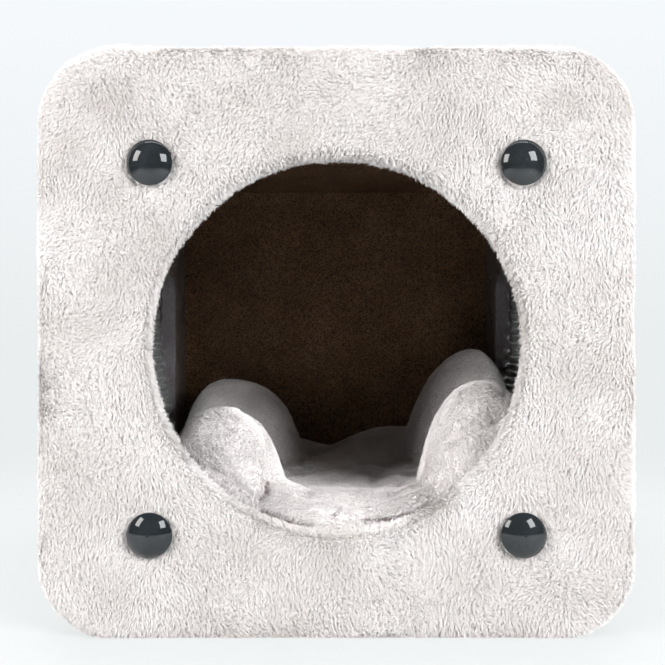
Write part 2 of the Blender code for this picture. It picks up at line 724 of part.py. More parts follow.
def cushion(finishes):
    """The loose plush cushion: crowned, drawn in at its corners and folded up against both walls."""
    wide = BINDING_INSIDE - CUSHION_SIDE_CLEARANCE
    long = (INSIDE_REAR - INSIDE_FRONT) / 2 - CUSHION_END_CLEARANCE
    middle = (INSIDE_FRONT + INSIDE_REAR) / 2
    foot_share = (RAIL_START[0] - CUSHION_SIDE_CLEARANCE) / wide
    rail_top = INSIDE_HALF[1] - RAIL_START[1] + CUSHION_OVER_RAIL
    rim_height = rail_top + CUSHION_OVER_RAIL
    pull = CUSHION_CORNER / wide / 2
    cells = CUSHION_CELLS
    shape = bmesh.new()
    grid = {}
    for i in range(cells + 1):
        for j in range(cells + 1):
            across = -1 + 2 * i / cells
            along = -1 + 2 * j / cells
            u = math.sin(math.pi / 2 * across)
            v = math.sin(math.pi / 2 * along)
            x = wide * u * (1 - pull * v ** 4)
            y = long * v * (1 - pull * u ** 4)
            inward = math.cos(math.pi / 2 * across) * math.cos(math.pi / 2 * along)
            crown = min(1.0, CROWN_RISE * math.sqrt(max(inward, 0.0))) ** CROWN_FULLNESS
            z = rim_height + (cushion_height(x, y, wide, long) - rim_height) * crown
            grid[i, j] = shape.verts.new((x, y, z))
    for i in range(cells):
        for j in range(cells):
            shape.faces.new((grid[i, j], grid[i + 1, j], grid[i + 1, j + 1], grid[i, j + 1]))
    rim = [grid[i, 0] for i in range(cells)] + [grid[cells, j] for j in range(cells)]
    rim += [grid[i, cells] for i in range(cells, 0, -1)] + [grid[0, j] for j in range(cells, 0, -1)]
    loops = [rim]
    for height in (rail_top, GAP):
        loops.append([shape.verts.new((foot_share * v.co.x, foot_share * v.co.y, height)) for v in rim])
    for high, low in zip(loops, loops[1:]):
        for i in range(len(rim)):
            j = (i + 1) % len(rim)
            shape.faces.new((high[j], high[i], low[i], low[j]))
    shape.faces.new(list(reversed(loops[-1])))
    add_object("cushion", finish_mesh(shape, "cushion", CUSHION_SHARP), finishes["plush"],
               (0, middle, FLOOR))


def main():
    """Build the tunnel."""
    for piece in list(bpy.data.objects):
        bpy.data.objects.remove(piece, do_unlink=True)
    finishes = {
        "plush": material("light grey plush", (0.74, 0.72, 0.71), 0.95),
        "board": material("chipboard", (0.42, 0.30, 0.19), 0.85),
        "hardboard": material("dark brown hardboard", (0.085, 0.050, 0.030), 0.8),
        "softwood": material("softwood", (0.58, 0.43, 0.27), 0.75),
        "sisal": material("grey sisal rope", (0.30, 0.31, 0.29), 0.95),
        "black_gloss": material("glossy black plastic", (0.012, 0.015, 0.018), 0.12),
        "black_matte": material("black plastic", (0.02, 0.02, 0.022), 0.5),
        "zinc": material("zinc-plated steel", (0.62, 0.63, 0.65), 0.35, 1.0),
        "brass": material("brass", (0.70, 0.52, 0.22), 0.35, 1.0),
    }
    front_panel(finishes)
    rear_panel(finishes)
    cross_boards(finishes)
    box_boards(finishes)
    body_cover(finishes)
    route = mat_route()
    print(f"least gap between turns of rope: {1000 * least_gap(route):.2f} mm")
    for name, side in SIDES.items():
        window_binding(name, side, finishes)
        sisal_mat(name, side, route, finishes)
        mat_frame(name, side, finishes)
    fasteners(finishes)
    cushion(finishes)


main()
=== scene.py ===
"""Looks of the cat scratching tunnel: plush with real pile, sisal rope, hardboard and glossy caps."""
import itertools
import json
import math

import bpy
import numpy as np
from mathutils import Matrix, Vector


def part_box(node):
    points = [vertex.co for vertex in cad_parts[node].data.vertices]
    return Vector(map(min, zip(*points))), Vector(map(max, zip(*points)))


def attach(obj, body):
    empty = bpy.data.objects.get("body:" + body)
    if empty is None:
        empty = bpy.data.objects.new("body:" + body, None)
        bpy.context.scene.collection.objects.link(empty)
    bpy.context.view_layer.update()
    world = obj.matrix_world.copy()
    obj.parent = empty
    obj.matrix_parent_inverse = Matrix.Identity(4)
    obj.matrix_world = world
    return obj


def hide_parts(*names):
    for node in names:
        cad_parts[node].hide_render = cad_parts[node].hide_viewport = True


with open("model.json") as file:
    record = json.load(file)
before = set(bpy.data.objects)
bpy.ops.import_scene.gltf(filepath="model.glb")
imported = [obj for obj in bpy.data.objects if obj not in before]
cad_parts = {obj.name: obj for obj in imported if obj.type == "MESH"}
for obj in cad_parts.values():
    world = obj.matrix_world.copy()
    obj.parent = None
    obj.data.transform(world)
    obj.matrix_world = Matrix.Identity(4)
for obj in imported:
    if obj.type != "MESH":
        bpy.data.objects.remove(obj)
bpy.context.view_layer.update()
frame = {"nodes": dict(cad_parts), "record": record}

# Camera, worked out from the photograph, whose frame is 665 pixels wide
PHOTO_PIXELS = 665
METRES_PER_PIXEL = 0.00067
VANISHING_POINT = (334, 343)
CAMERA_DISTANCE = 0.565
CAMERA_X = -0.0017
SENSOR = 36

# Sizes of the real object, shared with its construction
GAP = 0.0003
PLUSH = 0.004
PANEL_CORNER = 0.050
EDGE_ROUNDING = (0.0125, 0.0070)
DOOR_ROUNDING = (0.0042, 0.0038)
HEM_WIDTH = 0.030
DOOR_RADIUS = 0.1268
DOOR_DROP = 0.0017
RAIL_RADIUS = 0.040
COVER = 0.0042
WINDOW_CORNER = 0.022
BINDING = 0.0012
BINDING_LAP = 0.010
BINDING_EDGE = 0.0008
FRAME_FOOT = 0.0155
FRAME_LIP = 0.010
FRAME_ROUNDING = 0.003
FRAME_CORNER = 0.030
FRAME_INNER_CORNER = 0.006
ROPE_DIAMETER = 0.0069
ROPE_SPACING = 0.0005
MAT_LAP = 0.0085
SAG_DEPTH = 0.0135
SAG_PEAK = 0.023
SAG_TOP = 0.040
CAP_WALL = 0.0015
CAP_SKIRT = 0.0024
CORNERS = ("top_left", "top_right", "bottom_left", "bottom_right")
SIDES = {"left": -1, "right": 1}

# Pile: the backing's depth in the plush, the strands that stand on it, their swirls and bare edges
BACKING_DEPTH = 0.0016
PILE_LENGTH = 0.0043
PILE_RADIUS = 0.00012
PILE_POINTS = 4
TUFT = 0.0009
SWIRL = 0.034
SMALL_SWIRL = 0.009
BRUSHED_PATCH = 0.030
BARE_EDGE = 0.0012
BARE_FOOT = 0.0015

# Padding: how far meshes stay inside the plush's solids, the dimples at the bolt covers, and the radius of
# the ring that closes the back panel's middle
EDGE_INSET = 0.0002
DOOR_INSET = 0.0034
CAP_DIMPLE = 0.0014
DIMPLE_REACH = 0.030
DIMPLE_SLOPE = 0.014
MIDDLE_RING = 0.0015

# Points round a window's ring
RING_POINTS = 460

# Rope: points round it and the step along it, the length of one turn of its three strands, the radius of
# the circle that they stand on as a share of the rope's own, and its loose fibres, whose lengths and lifts
# are a least and a random part
ROPE_SIDES = 16
ROPE_STEP = 0.00135
ROPE_LAY = 0.021
STRAND_SHARE = 0.43
FIBRES = 70000
FIBRE_POINTS = 4
FIBRE_RADIUS = 0.00010
FIBRE_LENGTHS = (0.0016, 0.0042)
FIBRE_LIFTS = (0.0002, 0.0011)

# Places read from the frame
panel_low, panel_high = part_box("front_plush_cover")
sleeve_low, sleeve_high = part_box("body_cover")
CENTRE = (panel_low.z + panel_high.z) / 2


# Number fields

CELL_PRIMES = (73856093, 19349663, 83492791)
SEED_PRIME = 2654435761
BIT_MIXER = 0x45D9F3B
LOW_BITS = 0xFFFFFFFF


def lattice(cells, seed):
    """A repeatable number from 0 to 1 for each whole-number cell."""
    cells = cells.astype(np.int64)
    code = seed * SEED_PRIME
    for way, prime in enumerate(CELL_PRIMES):
        code = code ^ cells[..., way] * prime
    for _ in range(2):
        code &= LOW_BITS
        code = (code ^ (code >> 16)) * BIT_MIXER
    code &= LOW_BITS
    return (code ^ (code >> 16)) / LOW_BITS


def noise(points, size, seed):
    """Smooth noise from -1 to 1 with features about one size wide."""
    spots = points / size
    cells = np.floor(spots)
    part = spots - cells
    part = part * part * (3 - 2 * part)
    total = np.zeros(points.shape[:-1])
    for corner in itertools.product((0, 1), repeat=3):
        weight = np.prod(np.where(np.array(corner) == 1, part, 1 - part), axis=-1)
        total += weight * lattice(cells + corner, seed)
    return 2 * total - 1


def vector_noise(points, size, seed):
    """Three noises side by side."""
    return np.stack([noise(points, size, seed + k) for k in range(3)], axis=-1)


def tufts(points, size, seed):
    """Centre and number of the tuft that each point belongs to, on a jittered lattice."""
    cells = np.floor(points / size)
    least = np.full(len(points), np.inf)
    centres = np.zeros_like(points)
    numbers = np.zeros(len(points))
    for shift in itertools.product((-1, 0, 1), repeat=3):
        cell = cells + shift
        spots = np.stack([lattice(cell, seed + k) for k in range(3)], axis=-1)
        spots = (cell + spots) * size
        gap = np.sum((spots - points) ** 2, axis=-1)
        nearer = gap < least
        least = np.where(nearer, gap, least)
        centres[nearer] = spots[nearer]
        numbers[nearer] = lattice(cell, seed + 3)[nearer]
    return centres, numbers


def unit(vectors):
    """Vectors at length one."""
    return vectors / np.maximum(np.linalg.norm(vectors, axis=-1, keepdims=True), 1e-9)


def ease(values):
    """A smooth step from 0 to 1."""
    values = np.clip(values, 0, 1)
    return values * values * (3 - 2 * values)


# Materials

# Places of a Mix node's colour sockets among its inputs and outputs
FIRST_COLOUR, SECOND_COLOUR, MIXED_COLOUR = 6, 7, 2


def node(tree, kind, values=None, **settings):
    """A node with its settings; its sockets, by name or number, take values or links from other sockets."""
    made = tree.nodes.new(kind)
    for key, value in settings.items():
        setattr(made, key, value)
    for key, value in (values or {}).items():
        if isinstance(value, bpy.types.NodeSocket):
            tree.links.new(value, made.inputs[key])
        else:
            made.inputs[key].default_value = value
    return made


def maths(tree, operation, first, second=0.0):
    """The result of a sum on sockets or numbers."""
    return node(tree, "ShaderNodeMath", {0: first, 1: second}, operation=operation).outputs["Value"]


def smoothed(tree, value, start, end, least=0.0):
    """A smooth step of a value: least up to start, 1 from end on."""
    values = {"Value": value, "From Min": start, "From Max": end, "To Min": least}
    return node(tree, "ShaderNodeMapRange", values, interpolation_type="SMOOTHSTEP").outputs["Result"]


def one_axis(tree, place, name):
    """One coordinate of a place."""
    return node(tree, "ShaderNodeSeparateXYZ", {"Vector": place}).outputs[name]


def new_finish(name, roughness, **sockets):
    """A material with its shader and object coordinates."""
    finish = bpy.data.materials.new(name)
    finish.use_nodes = True
    tree = finish.node_tree
    shader = tree.nodes["Principled BSDF"]
    shader.inputs["Roughness"].default_value = roughness
    for key, value in sockets.items():
        shader.inputs[key.replace("_", " ")].default_value = value
    return finish, tree, shader, node(tree, "ShaderNodeTexCoord").outputs["Object"]


def speckle(tree, place, size, detail=3.0, rough=0.6, scale=(1, 1, 1)):
    """Noise with features of a size in metres, stretched along the axes."""
    if scale != (1, 1, 1):
        place = node(tree, "ShaderNodeMapping", {"Vector": place, "Scale": scale}).outputs["Vector"]
    values = {"Vector": place, "Scale": 1 / size, "Detail": detail, "Roughness": rough}
    return node(tree, "ShaderNodeTexNoise", values).outputs["Fac"]


def ramp(tree, value, *stops):
    """Colours by value: stops of (place, colour), a number standing for a grey."""
    made = node(tree, "ShaderNodeValToRGB", {"Fac": value})
    elements = made.color_ramp.elements
    while len(elements) < len(stops):
        elements.new(0.5)
    for element, (spot, colour) in zip(elements, stops):
        element.position = spot
        element.color = (*(colour if isinstance(colour, tuple) else (colour,) * 3), 1.0)
    return made.outputs["Color"]


def mixed(tree, blend, amount, first, second):
    """Two colours mixed; each of them and the amount may be values or a socket."""
    first, second = [(*c, 1.0) if isinstance(c, tuple) else c for c in (first, second)]
    values = {"Factor": amount, FIRST_COLOUR: first, SECOND_COLOUR: second}
    return node(tree, "ShaderNodeMix", values, data_type="RGBA", blend_type=blend).outputs[MIXED_COLOUR]


def bump(tree, shader, height, strength, distance, under=None):
    """Relief from a height; several are chained through under."""
    values = {"Height": height, "Strength": strength, "Distance": distance}
    if under is not None:
        values["Normal"] = under
    felt = node(tree, "ShaderNodeBump", values).outputs["Normal"]
    tree.links.new(felt, shader.inputs["Normal"])
    return felt


def plush_finish(name, light, dark, shaded=None):
    """Pressed pile: clumps, brushed patches and a sheen; shaded is a reach and the painted shade colour
    within it.
    """
    finish, tree, shader, place = new_finish(name, 0.95, Sheen_Weight=0.35, Sheen_Roughness=0.6)
    patches = ramp(tree, speckle(tree, place, 0.030), (0.35, dark), (0.62, light))
    clumps = ramp(tree, speckle(tree, place, 0.0016, 4.0, 0.75), (0.30, 0.62), (0.62, 1.0))
    colour = mixed(tree, "MULTIPLY", 0.75, patches, clumps)
    # Painted shade: within a reach of the middle plane the colour is set to the shade colour
    if shaded is not None:
        reach = maths(tree, "ABSOLUTE", one_axis(tree, place, "X"))
        colour = mixed(tree, "MIX", maths(tree, "LESS_THAN", reach, shaded[0]), colour, shaded[1])
    tree.links.new(colour, shader.inputs["Base Color"])
    soft = bump(tree, shader, speckle(tree, place, 0.0045), 0.5, 0.0012)
    bump(tree, shader, speckle(tree, place, 0.0013, 4.0, 0.8), 0.8, 0.0008, soft)
    return finish


def strand_finish(name, roughness, root_shade, *stops, **sockets):
    """Strands, each with a colour by its own tone, darker at the root as painted shade deep in the pile."""
    finish, tree, shader, _ = new_finish(name, roughness, **sockets)
    tone = node(tree, "ShaderNodeAttribute", attribute_name="tone").outputs["Fac"]
    # Painted shade: the colour darkened towards each strand's root
    depth = ramp(tree, node(tree, "ShaderNodeHairInfo").outputs["Intercept"], (0.0, root_shade), (0.75, 1.0))
    colour = mixed(tree, "MULTIPLY", 1.0, ramp(tree, tone, *stops), depth)
    tree.links.new(colour, shader.inputs["Base Color"])
    return finish


def pile_finish(name, light, dark, deep):
    """Strands of pile; deep is the colour of its lowest tones, given only where shade is painted in creases
    and on flanges.
    """
    stops = ((0.0, deep), (0.12, deep), (0.2, dark), (0.75, light))
    return strand_finish(name, 0.75, 0.60, *stops, Sheen_Weight=0.2)


def grained_finish(name, roughness, grain, dark, light, relief, dust=None, **sockets):
    """A grain of (size, detail, roughness, stretch) that shows from dark to light and as a relief."""
    finish, tree, shader, place = new_finish(name, roughness, **sockets)
    marks = speckle(tree, place, *grain)
    colour = ramp(tree, marks, dark, light)
    if dust is not None:
        patches = ramp(tree, speckle(tree, place, 0.012), (0.3, dust), (0.7, 1.0))
        colour = mixed(tree, "MULTIPLY", 1.0, colour, patches)
    tree.links.new(colour, shader.inputs["Base Color"])
    bump(tree, shader, marks, *relief)
    return finish


def hardboard_finish():
    """Dark brown hardboard: pressed fibres, blotches and a few bright flecks."""
    finish, tree, shader, place = new_finish("dark_hardboard", 0.82, Specular_IOR_Level=0.25)
    spots = speckle(tree, place, 0.045)
    blotches = ramp(tree, spots, (0.30, (0.175, 0.098, 0.054)), (0.70, (0.255, 0.150, 0.086)))
    fibres = ramp(tree, speckle(tree, place, 0.0016, 4.0, 0.8), (0.40, 0.12), (0.58, 1.65))
    colour = mixed(tree, "MULTIPLY", 0.95, blotches, fibres)
    cells = node(tree, "ShaderNodeTexVoronoi", {"Vector": place, "Scale": 1 / 0.020}, feature="F1")
    fleck = maths(tree, "LESS_THAN", cells.outputs["Distance"], 0.030)
    tree.links.new(mixed(tree, "MIX", fleck, colour, (0.62, 0.38, 0.18)), shader.inputs["Base Color"])
    bump(tree, shader, speckle(tree, place, 0.0012, 5.0, 0.8), 0.5, 0.0005)
    return finish


def gloss_finish():
    """Polished black moulding with the faint waviness of a moulded dome."""
    finish, tree, shader, place = new_finish("glossy_black", 0.05)
    spots = speckle(tree, place, 0.010, 2.0)
    tone = ramp(tree, spots, (0.3, (0.009, 0.011, 0.012)), (0.7, (0.013, 0.016, 0.018)))
    tree.links.new(tone, shader.inputs["Base Color"])
    bump(tree, shader, speckle(tree, place, 0.006, 2.0), 0.06, 0.0004)
    return finish


PLUSH_LIGHT, PLUSH_DARK = (0.75, 0.722, 0.711), (0.61, 0.570, 0.550)
CUSHION_LIGHT, CUSHION_DARK = (0.95, 0.913, 0.905), (0.70, 0.665, 0.662)
# Painted shade for the cushion's pile in its deep creases, a purple brown
CREASE_SHADE_COLOUR = (0.34, 0.26, 0.26)
BINDING_LIGHT, BINDING_DARK = (0.48, 0.45, 0.48), (0.36, 0.33, 0.36)
# A dark brown: the darkest tone of the binding's pile, and painted shade on the binding's flange face
BINDING_DARK_AND_SHADE = (0.20, 0.15, 0.13)
# Reach from the middle plane within which the binding's plush and pile are painted dark as shade: the
# flange face and the nearest part of the lining
BINDING_FACE = abs(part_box("left_window_binding")[1].x) + 0.0014
WOOD_RELIEF = (0.35, 0.0004)
TURNING_MARKS = (0.0012, 4.0, 0.7, (1, 4, 1))
METAL_RELIEF = (0.15, 0.0002)
FINISHES = {
    "plush": plush_finish("grey_plush", PLUSH_LIGHT, PLUSH_DARK),
    "pile": pile_finish("grey_plush_pile", PLUSH_LIGHT, PLUSH_DARK, PLUSH_DARK),
    "cushion_plush": plush_finish("cushion_plush", CUSHION_LIGHT, CUSHION_DARK),
    "cushion_pile": pile_finish("cushion_pile", CUSHION_LIGHT, CUSHION_DARK, CREASE_SHADE_COLOUR),
    "binding_plush": plush_finish("binding_plush", BINDING_LIGHT, BINDING_DARK, (BINDING_FACE, BINDING_DARK_AND_SHADE)),
    "binding_pile": pile_finish("binding_pile", BINDING_LIGHT, BINDING_DARK_AND_SHADE, BINDING_DARK_AND_SHADE),
    "hardboard": hardboard_finish(),
    "board": grained_finish("chipboard", 0.7, (0.004, 5.0, 0.7), (0.32, (0.30, 0.20, 0.12)),
                            (0.66, (0.52, 0.38, 0.24)), WOOD_RELIEF, Specular_IOR_Level=0.3),
    "softwood": grained_finish("softwood", 0.7, (0.004, 5.0, 0.7, (1, 0.08, 1)), (0.32, (0.46, 0.31, 0.18)),
                               (0.66, (0.66, 0.49, 0.31)), WOOD_RELIEF, Specular_IOR_Level=0.3),
    "sisal": grained_finish("grey_sisal", 0.9, (0.0011, 5.0, 0.8, (1, 0.25, 1)),
                            (0.33, (0.22, 0.23, 0.235)), (0.60, (0.50, 0.525, 0.53)), (0.8, 0.0006),
                            dust=(0.75, 0.78, 0.74), Specular_IOR_Level=0.2, Sheen_Weight=0.15),
    "sisal_fibre": strand_finish("sisal_fibre", 0.7, 1.0, (0.0, (0.20, 0.21, 0.215)),
                                 (1.0, (0.60, 0.63, 0.63))),
    "black_gloss": gloss_finish(),
    "black_matte": grained_finish("satin_black", 0.5, (0.0006,), (0.3, 0.014), (0.7, 0.026), (0.3, 0.0001)),
    "zinc": grained_finish("zinc_plate", 0.32, TURNING_MARKS, (0.3, (0.50, 0.51, 0.53)),
                           (0.7, (0.66, 0.67, 0.69)), METAL_RELIEF, Metallic=1.0),
    "brass": grained_finish("turned_brass", 0.34, TURNING_MARKS, (0.3, (0.60, 0.43, 0.17)),
                            (0.7, (0.76, 0.58, 0.26)), METAL_RELIEF, Metallic=1.0),
}


# Meshes

def grid_mesh(name, points, joined=False, closed=False):
    """A mesh through rings of points, its ends open, joined to each other or closed by a face each."""
    numbers = np.arange(points[..., 0].size).reshape(points.shape[:2])
    rings = np.vstack([numbers, numbers[:1]]) if joined else numbers
    rings = np.hstack([rings, rings[:, :1]])
    faces = np.stack([rings[:-1, :-1], rings[:-1, 1:], rings[1:, 1:], rings[1:, :-1]], axis=-1)
    faces = faces.reshape(-1, 4).tolist()
    if closed:
        faces += [numbers[0, ::-1].tolist(), numbers[-1].tolist()]
    mesh = bpy.data.meshes.new(name)
    mesh.from_pydata(points.reshape(-1, 3).tolist(), [], faces)
    return facing_out(mesh) if joined or closed else mesh


def turned(profile, angles):
    """Rings of points round a line along the tunnel, from (radius, place on the line)."""
    return np.array([np.column_stack([r * np.cos(angles), np.full(len(angles), y), r * np.sin(angles)])
                     for r, y in profile])


def vertex_array(mesh, name="co"):
    """Places or normals of a mesh's points."""
    values = np.empty(len(mesh.vertices) * 3)
    mesh.vertices.foreach_get(name, values)
    return values.reshape(-1, 3)


def set_places(mesh, places):
    """Move a mesh's points."""
    mesh.vertices.foreach_set("co", places.ravel())
    mesh.update()


def triangles(mesh):
    """A mesh's triangles, as rows of point numbers."""
    mesh.calc_loop_triangles()
    corners = np.empty(len(mesh.loop_triangles) * 3, np.int32)
    mesh.loop_triangles.foreach_get("vertices", corners)
    return corners.reshape(-1, 3)


def facing_out(mesh):
    """Turn a closed mesh's faces outwards by the sign of its volume."""
    a, b, c = vertex_array(mesh)[triangles(mesh)].transpose(1, 0, 2)
    if np.einsum("ij,ij->i", a, np.cross(b, c)).sum() < 0:
        mesh.flip_normals()
    return mesh


def placed(name, data):
    """A new object in the scene."""
    made = bpy.data.objects.new(name, data)
    bpy.context.scene.collection.objects.link(made)
    return made


def evaluated(piece):
    """A piece's mesh with its modifiers applied."""
    return bpy.data.meshes.new_from_object(piece.evaluated_get(bpy.context.evaluated_depsgraph_get()))


def add_piece(name, mesh, body, slot, replaced):
    """A finished mesh that rides on a body and stands for CAD nodes."""
    mesh.shade_smooth()
    mesh.materials.clear()
    mesh.materials.append(FINISHES[slot])
    piece = placed(name, mesh)
    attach(piece, body)
    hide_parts(*replaced)
    return piece


def relief(mesh, fine, coarse, seed, fine_size=0.0048, coarse_size=0.024):
    """Clumps and brushed hollows of pile, as real displacement."""
    places = vertex_array(mesh)
    lift = fine * noise(places, fine_size, seed) + coarse * noise(places, coarse_size, seed + 7)
    set_places(mesh, places + vertex_array(mesh, "normal") * lift[:, None])


def roots_on(mesh, count, rng, density=None):
    """Roots spread over a mesh, with the surface's normals there."""
    corners = triangles(mesh)
    places = vertex_array(mesh)
    a, b, c = places[corners].transpose(1, 0, 2)
    area = np.linalg.norm(np.cross(b - a, c - a), axis=1)
    if density is not None:
        area = area * density((a + b + c) / 3)
    picks = np.searchsorted(np.cumsum(area) / area.sum(), rng.random(count))
    picks = corners[np.minimum(picks, len(area) - 1)]
    u, v = rng.random((2, count))
    over = u + v > 1
    u, v = np.where(over, 1 - u, u), np.where(over, 1 - v, v)
    weights = np.stack([1 - u - v, u, v], axis=1)[:, :, None]
    normals = vertex_array(mesh, "normal")
    return (places[picks] * weights).sum(1), unit((normals[picks] * weights).sum(1))


def add_strands(name, points, radii, tones, body, finish):
    """Strands as hair curves that ride on a body."""
    strands = bpy.data.hair_curves.new(name)
    strands.add_curves([points.shape[1]] * len(points))
    strands.position_data.foreach_set("vector", points.astype(np.float32).ravel())
    radius = strands.attributes.get("radius") or strands.attributes.new("radius", "FLOAT", "POINT")
    radius.data.foreach_set("value", radii.astype(np.float32).ravel())
    tone = strands.attributes.new("tone", "FLOAT", "CURVE")
    tone.data.foreach_set("value", tones.astype(np.float32))
    strands.materials.append(FINISHES[finish])
    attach(placed(name, strands), body)


def laid_on(normals, vectors):
    """Vectors without their part along the normals."""
    return vectors - normals * np.sum(vectors * normals, axis=1, keepdims=True)


def grow_pile(piece, body, finish, count, seed, density, flow=(0, 0, -1), length=PILE_LENGTH, lean=54,
              shorter=None, standing=None, painted_shading=None, painted_darkness=None):
    """Short plush: fine tufts brushed into swirls, shorter or standing up where asked, with painted shade
    where asked: tones lowered, or set darkest.
    """
    rng = np.random.default_rng(seed)
    roots, normals = roots_on(piece.data, count, rng, density)
    centres, numbers = tufts(roots, TUFT, seed)
    turn = 2 * np.pi * numbers
    share_of_tuft = numbers * 7 % 1
    own = np.stack([np.cos(turn), np.cos(turn + 2.1), np.sin(turn)], axis=-1)
    lie = 0.50 * np.array(flow) + 1.1 * vector_noise(roots, SWIRL, seed)
    lie = lie + 0.45 * vector_noise(roots, SMALL_SWIRL, seed + 9)
    lie += 0.38 * own + 0.12 * rng.normal(size=lie.shape)
    lie = unit(laid_on(normals, lie))
    gather = laid_on(normals, centres - roots)
    patches = noise(roots, BRUSHED_PATCH, seed + 11)
    reach = length * (0.74 + 0.20 * rng.random(count) + 0.36 * numbers) * (1 + 0.12 * patches)
    pull = np.full(count, 0.62)
    if shorter is not None:
        reach *= shorter(roots)
    tilt = lean + 12 * noise(centres, 0.006, seed + 5) + 16 * (share_of_tuft - 0.5)
    tilt += 4 * rng.normal(size=count)
    if standing is not None:
        upright = standing(roots)
        tilt -= 30 * upright
        pull += 0.33 * upright
        reach *= 1 + upright * (1.5 * share_of_tuft - 0.70)
    gather *= pull[:, None]
    tilt = np.radians(tilt)
    rise = (reach * np.cos(tilt))[:, None]
    run = (reach * np.sin(tilt))[:, None]
    wander = 0.045 * reach[:, None] * rng.normal(size=roots.shape)
    share = np.linspace(0, 1, PILE_POINTS)
    points = np.stack([roots + normals * rise * (1.5 * s - 0.5 * s * s) + lie * run * s ** 1.5 + gather * s
                       + wander * s * s for s in share], axis=1)
    taper = 1 - 0.75 * share ** 2
    radii = PILE_RADIUS * taper[None, :] * (0.8 + 0.4 * rng.random(count))[:, None]
    tones = 0.58 + 0.33 * patches + 0.24 * (share_of_tuft - 0.5) + 0.08 * rng.normal(size=count)
    # Painted shade: tones lowered where asked
    if painted_shading is not None:
        tones -= painted_shading(roots)
    tones = np.clip(tones, 0.2, 1)
    # Painted shade: the darkest tones where asked, as shade in creases and on flanges
    if painted_darkness is not None:
        tones = np.where(painted_darkness(roots), 0.1 * rng.random(count), tones)
    add_strands(piece.name + "_pile", points, radii, tones, body, finish)


# End panels

def reach_of_rectangle(angles, half, radius):
    """Distance from the middle to a rounded rectangle's edge, by angle."""
    across, up = np.abs(np.cos(angles)), np.abs(np.sin(angles))
    hub = (half[0] - radius, half[1] - radius)
    side = half[0] / np.maximum(across, 1e-9)
    top = half[1] / np.maximum(up, 1e-9)
    along = across * hub[0] + up * hub[1]
    corner = along + np.sqrt(np.maximum(along ** 2 - hub[0] ** 2 - hub[1] ** 2 + radius ** 2, 0))
    return np.where(side * up <= hub[1], side, np.where(top * across <= hub[0], top, corner))


def quarter_turn(steps):
    """Sine and one minus cosine over a quarter turn, for a soft edge."""
    angles = np.linspace(0, np.pi / 2, steps)
    return np.sin(angles), 1 - np.cos(angles)


def wrapped_section(thickness, rounding, edge_steps=9, flat_steps=5):
    """A padded edge from the back to the face, as (inset from the edge, depth behind the face)."""
    wide, deep = rounding
    rise, fall = quarter_turn(edge_steps)
    inset = list(np.linspace(HEM_WIDTH, wide, flat_steps)[:-1]) + list(wide * (1 - rise))
    depth = [thickness] * (flat_steps - 1) + list(thickness - deep * fall)
    inset += list(wide * fall)[1:]
    depth += list(deep * (1 - rise))[1:]
    return np.array(inset), np.array(depth)


def panel_points(low, high, door, columns, face_rows):
    """Rows of a wrapped panel: over its outer edge, across its face and, if it has a door, through it."""
    angles = np.linspace(0, 2 * np.pi, columns, endpoint=False)
    half = np.array([high.x - low.x, high.z - low.z]) / 2 - EDGE_INSET
    corner = PANEL_CORNER - EDGE_INSET
    lining = DOOR_RADIUS + DOOR_INSET
    thickness = high.y - low.y - BACKING_DEPTH
    inset, depth = wrapped_section(thickness, EDGE_ROUNDING)
    rows = [(reach_of_rectangle(angles, half - i, max(corner - i, 0.001)), d) for i, d in zip(inset, depth)]
    outer = rows[-1][0]
    inner = np.full(columns, lining + DOOR_ROUNDING[0] if door else MIDDLE_RING)
    for share in np.linspace(0, 1, face_rows)[1:-1]:
        rows.append((outer + (inner - outer) * share, 0.0))
    if door:
        inset, depth = wrapped_section(thickness, DOOR_ROUNDING)
        rows += [(lining + np.full(columns, i), d) for i, d in zip(inset[::-1], depth[::-1])]
    else:
        rows.append((inner, 0.0))
    points = turned(rows, angles)
    if door:
        drop = np.ones(len(rows))
        drop[:len(inset) + face_rows - 2] = np.r_[np.zeros(len(inset)), np.linspace(0, 1, face_rows)[1:-1]]
        points[..., 2] -= DOOR_DROP * drop[:, None]
    return points


def from_caps(spots):
    """Distance of places from the axis of each bolt cover, with the cover's radius."""
    for corner in CORNERS:
        low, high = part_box(f"front_cap_{corner}")
        away = np.hypot(spots[:, 0] - (low.x + high.x) / 2, spots[:, 2] - (low.z + high.z) / 2)
        yield away, (high.x - low.x) / 2


def clear_of_caps(spots):
    """Where pile grows: not under the bolt covers."""
    return np.all([away >= radius + 0.0002 for away, radius in from_caps(spots)], axis=0)


def end_panel(end, name, columns, face_rows, coarse, seed, count, pile_seed, **pile):
    """A wrapped end panel with padded edges, pile, dimples at the bolt covers and, in front, the door."""
    door = end == "front"
    low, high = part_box(f"{end}_plush_cover")
    outward = -1 if door else 1
    face = low.y + BACKING_DEPTH if door else high.y - BACKING_DEPTH
    hidden = high.y if door else low.y
    points = panel_points(low, high, door, columns, face_rows)
    points[..., 1] = face - outward * points[..., 1]
    points[..., 2] += CENTRE
    mesh = grid_mesh(f"{end}_plush", points, joined=door, closed=not door)
    places = vertex_array(mesh)
    for away, _ in from_caps(places):
        near = np.abs(places[:, 1] - face) < EDGE_ROUNDING[1] / 2
        places[:, 1] -= outward * CAP_DIMPLE * ease((DIMPLE_REACH - away) / DIMPLE_SLOPE) * near
    set_places(mesh, places)
    relief(mesh, fine=0.0002, coarse=coarse, seed=seed)
    piece = add_piece(name, mesh, "tunnel", "plush", [f"{end}_plush_cover"])

    def shown(spots):
        return (outward * (spots[:, 1] - hidden) > BARE_EDGE) & clear_of_caps(spots)

    grow_pile(piece, "tunnel", "pile", count, pile_seed, density=shown, **pile)


def past_door(spots):
    """How far places are outside the doorway's edge."""
    return np.hypot(spots[:, 0], spots[:, 2] - CENTRE + DOOR_DROP) - DOOR_RADIUS


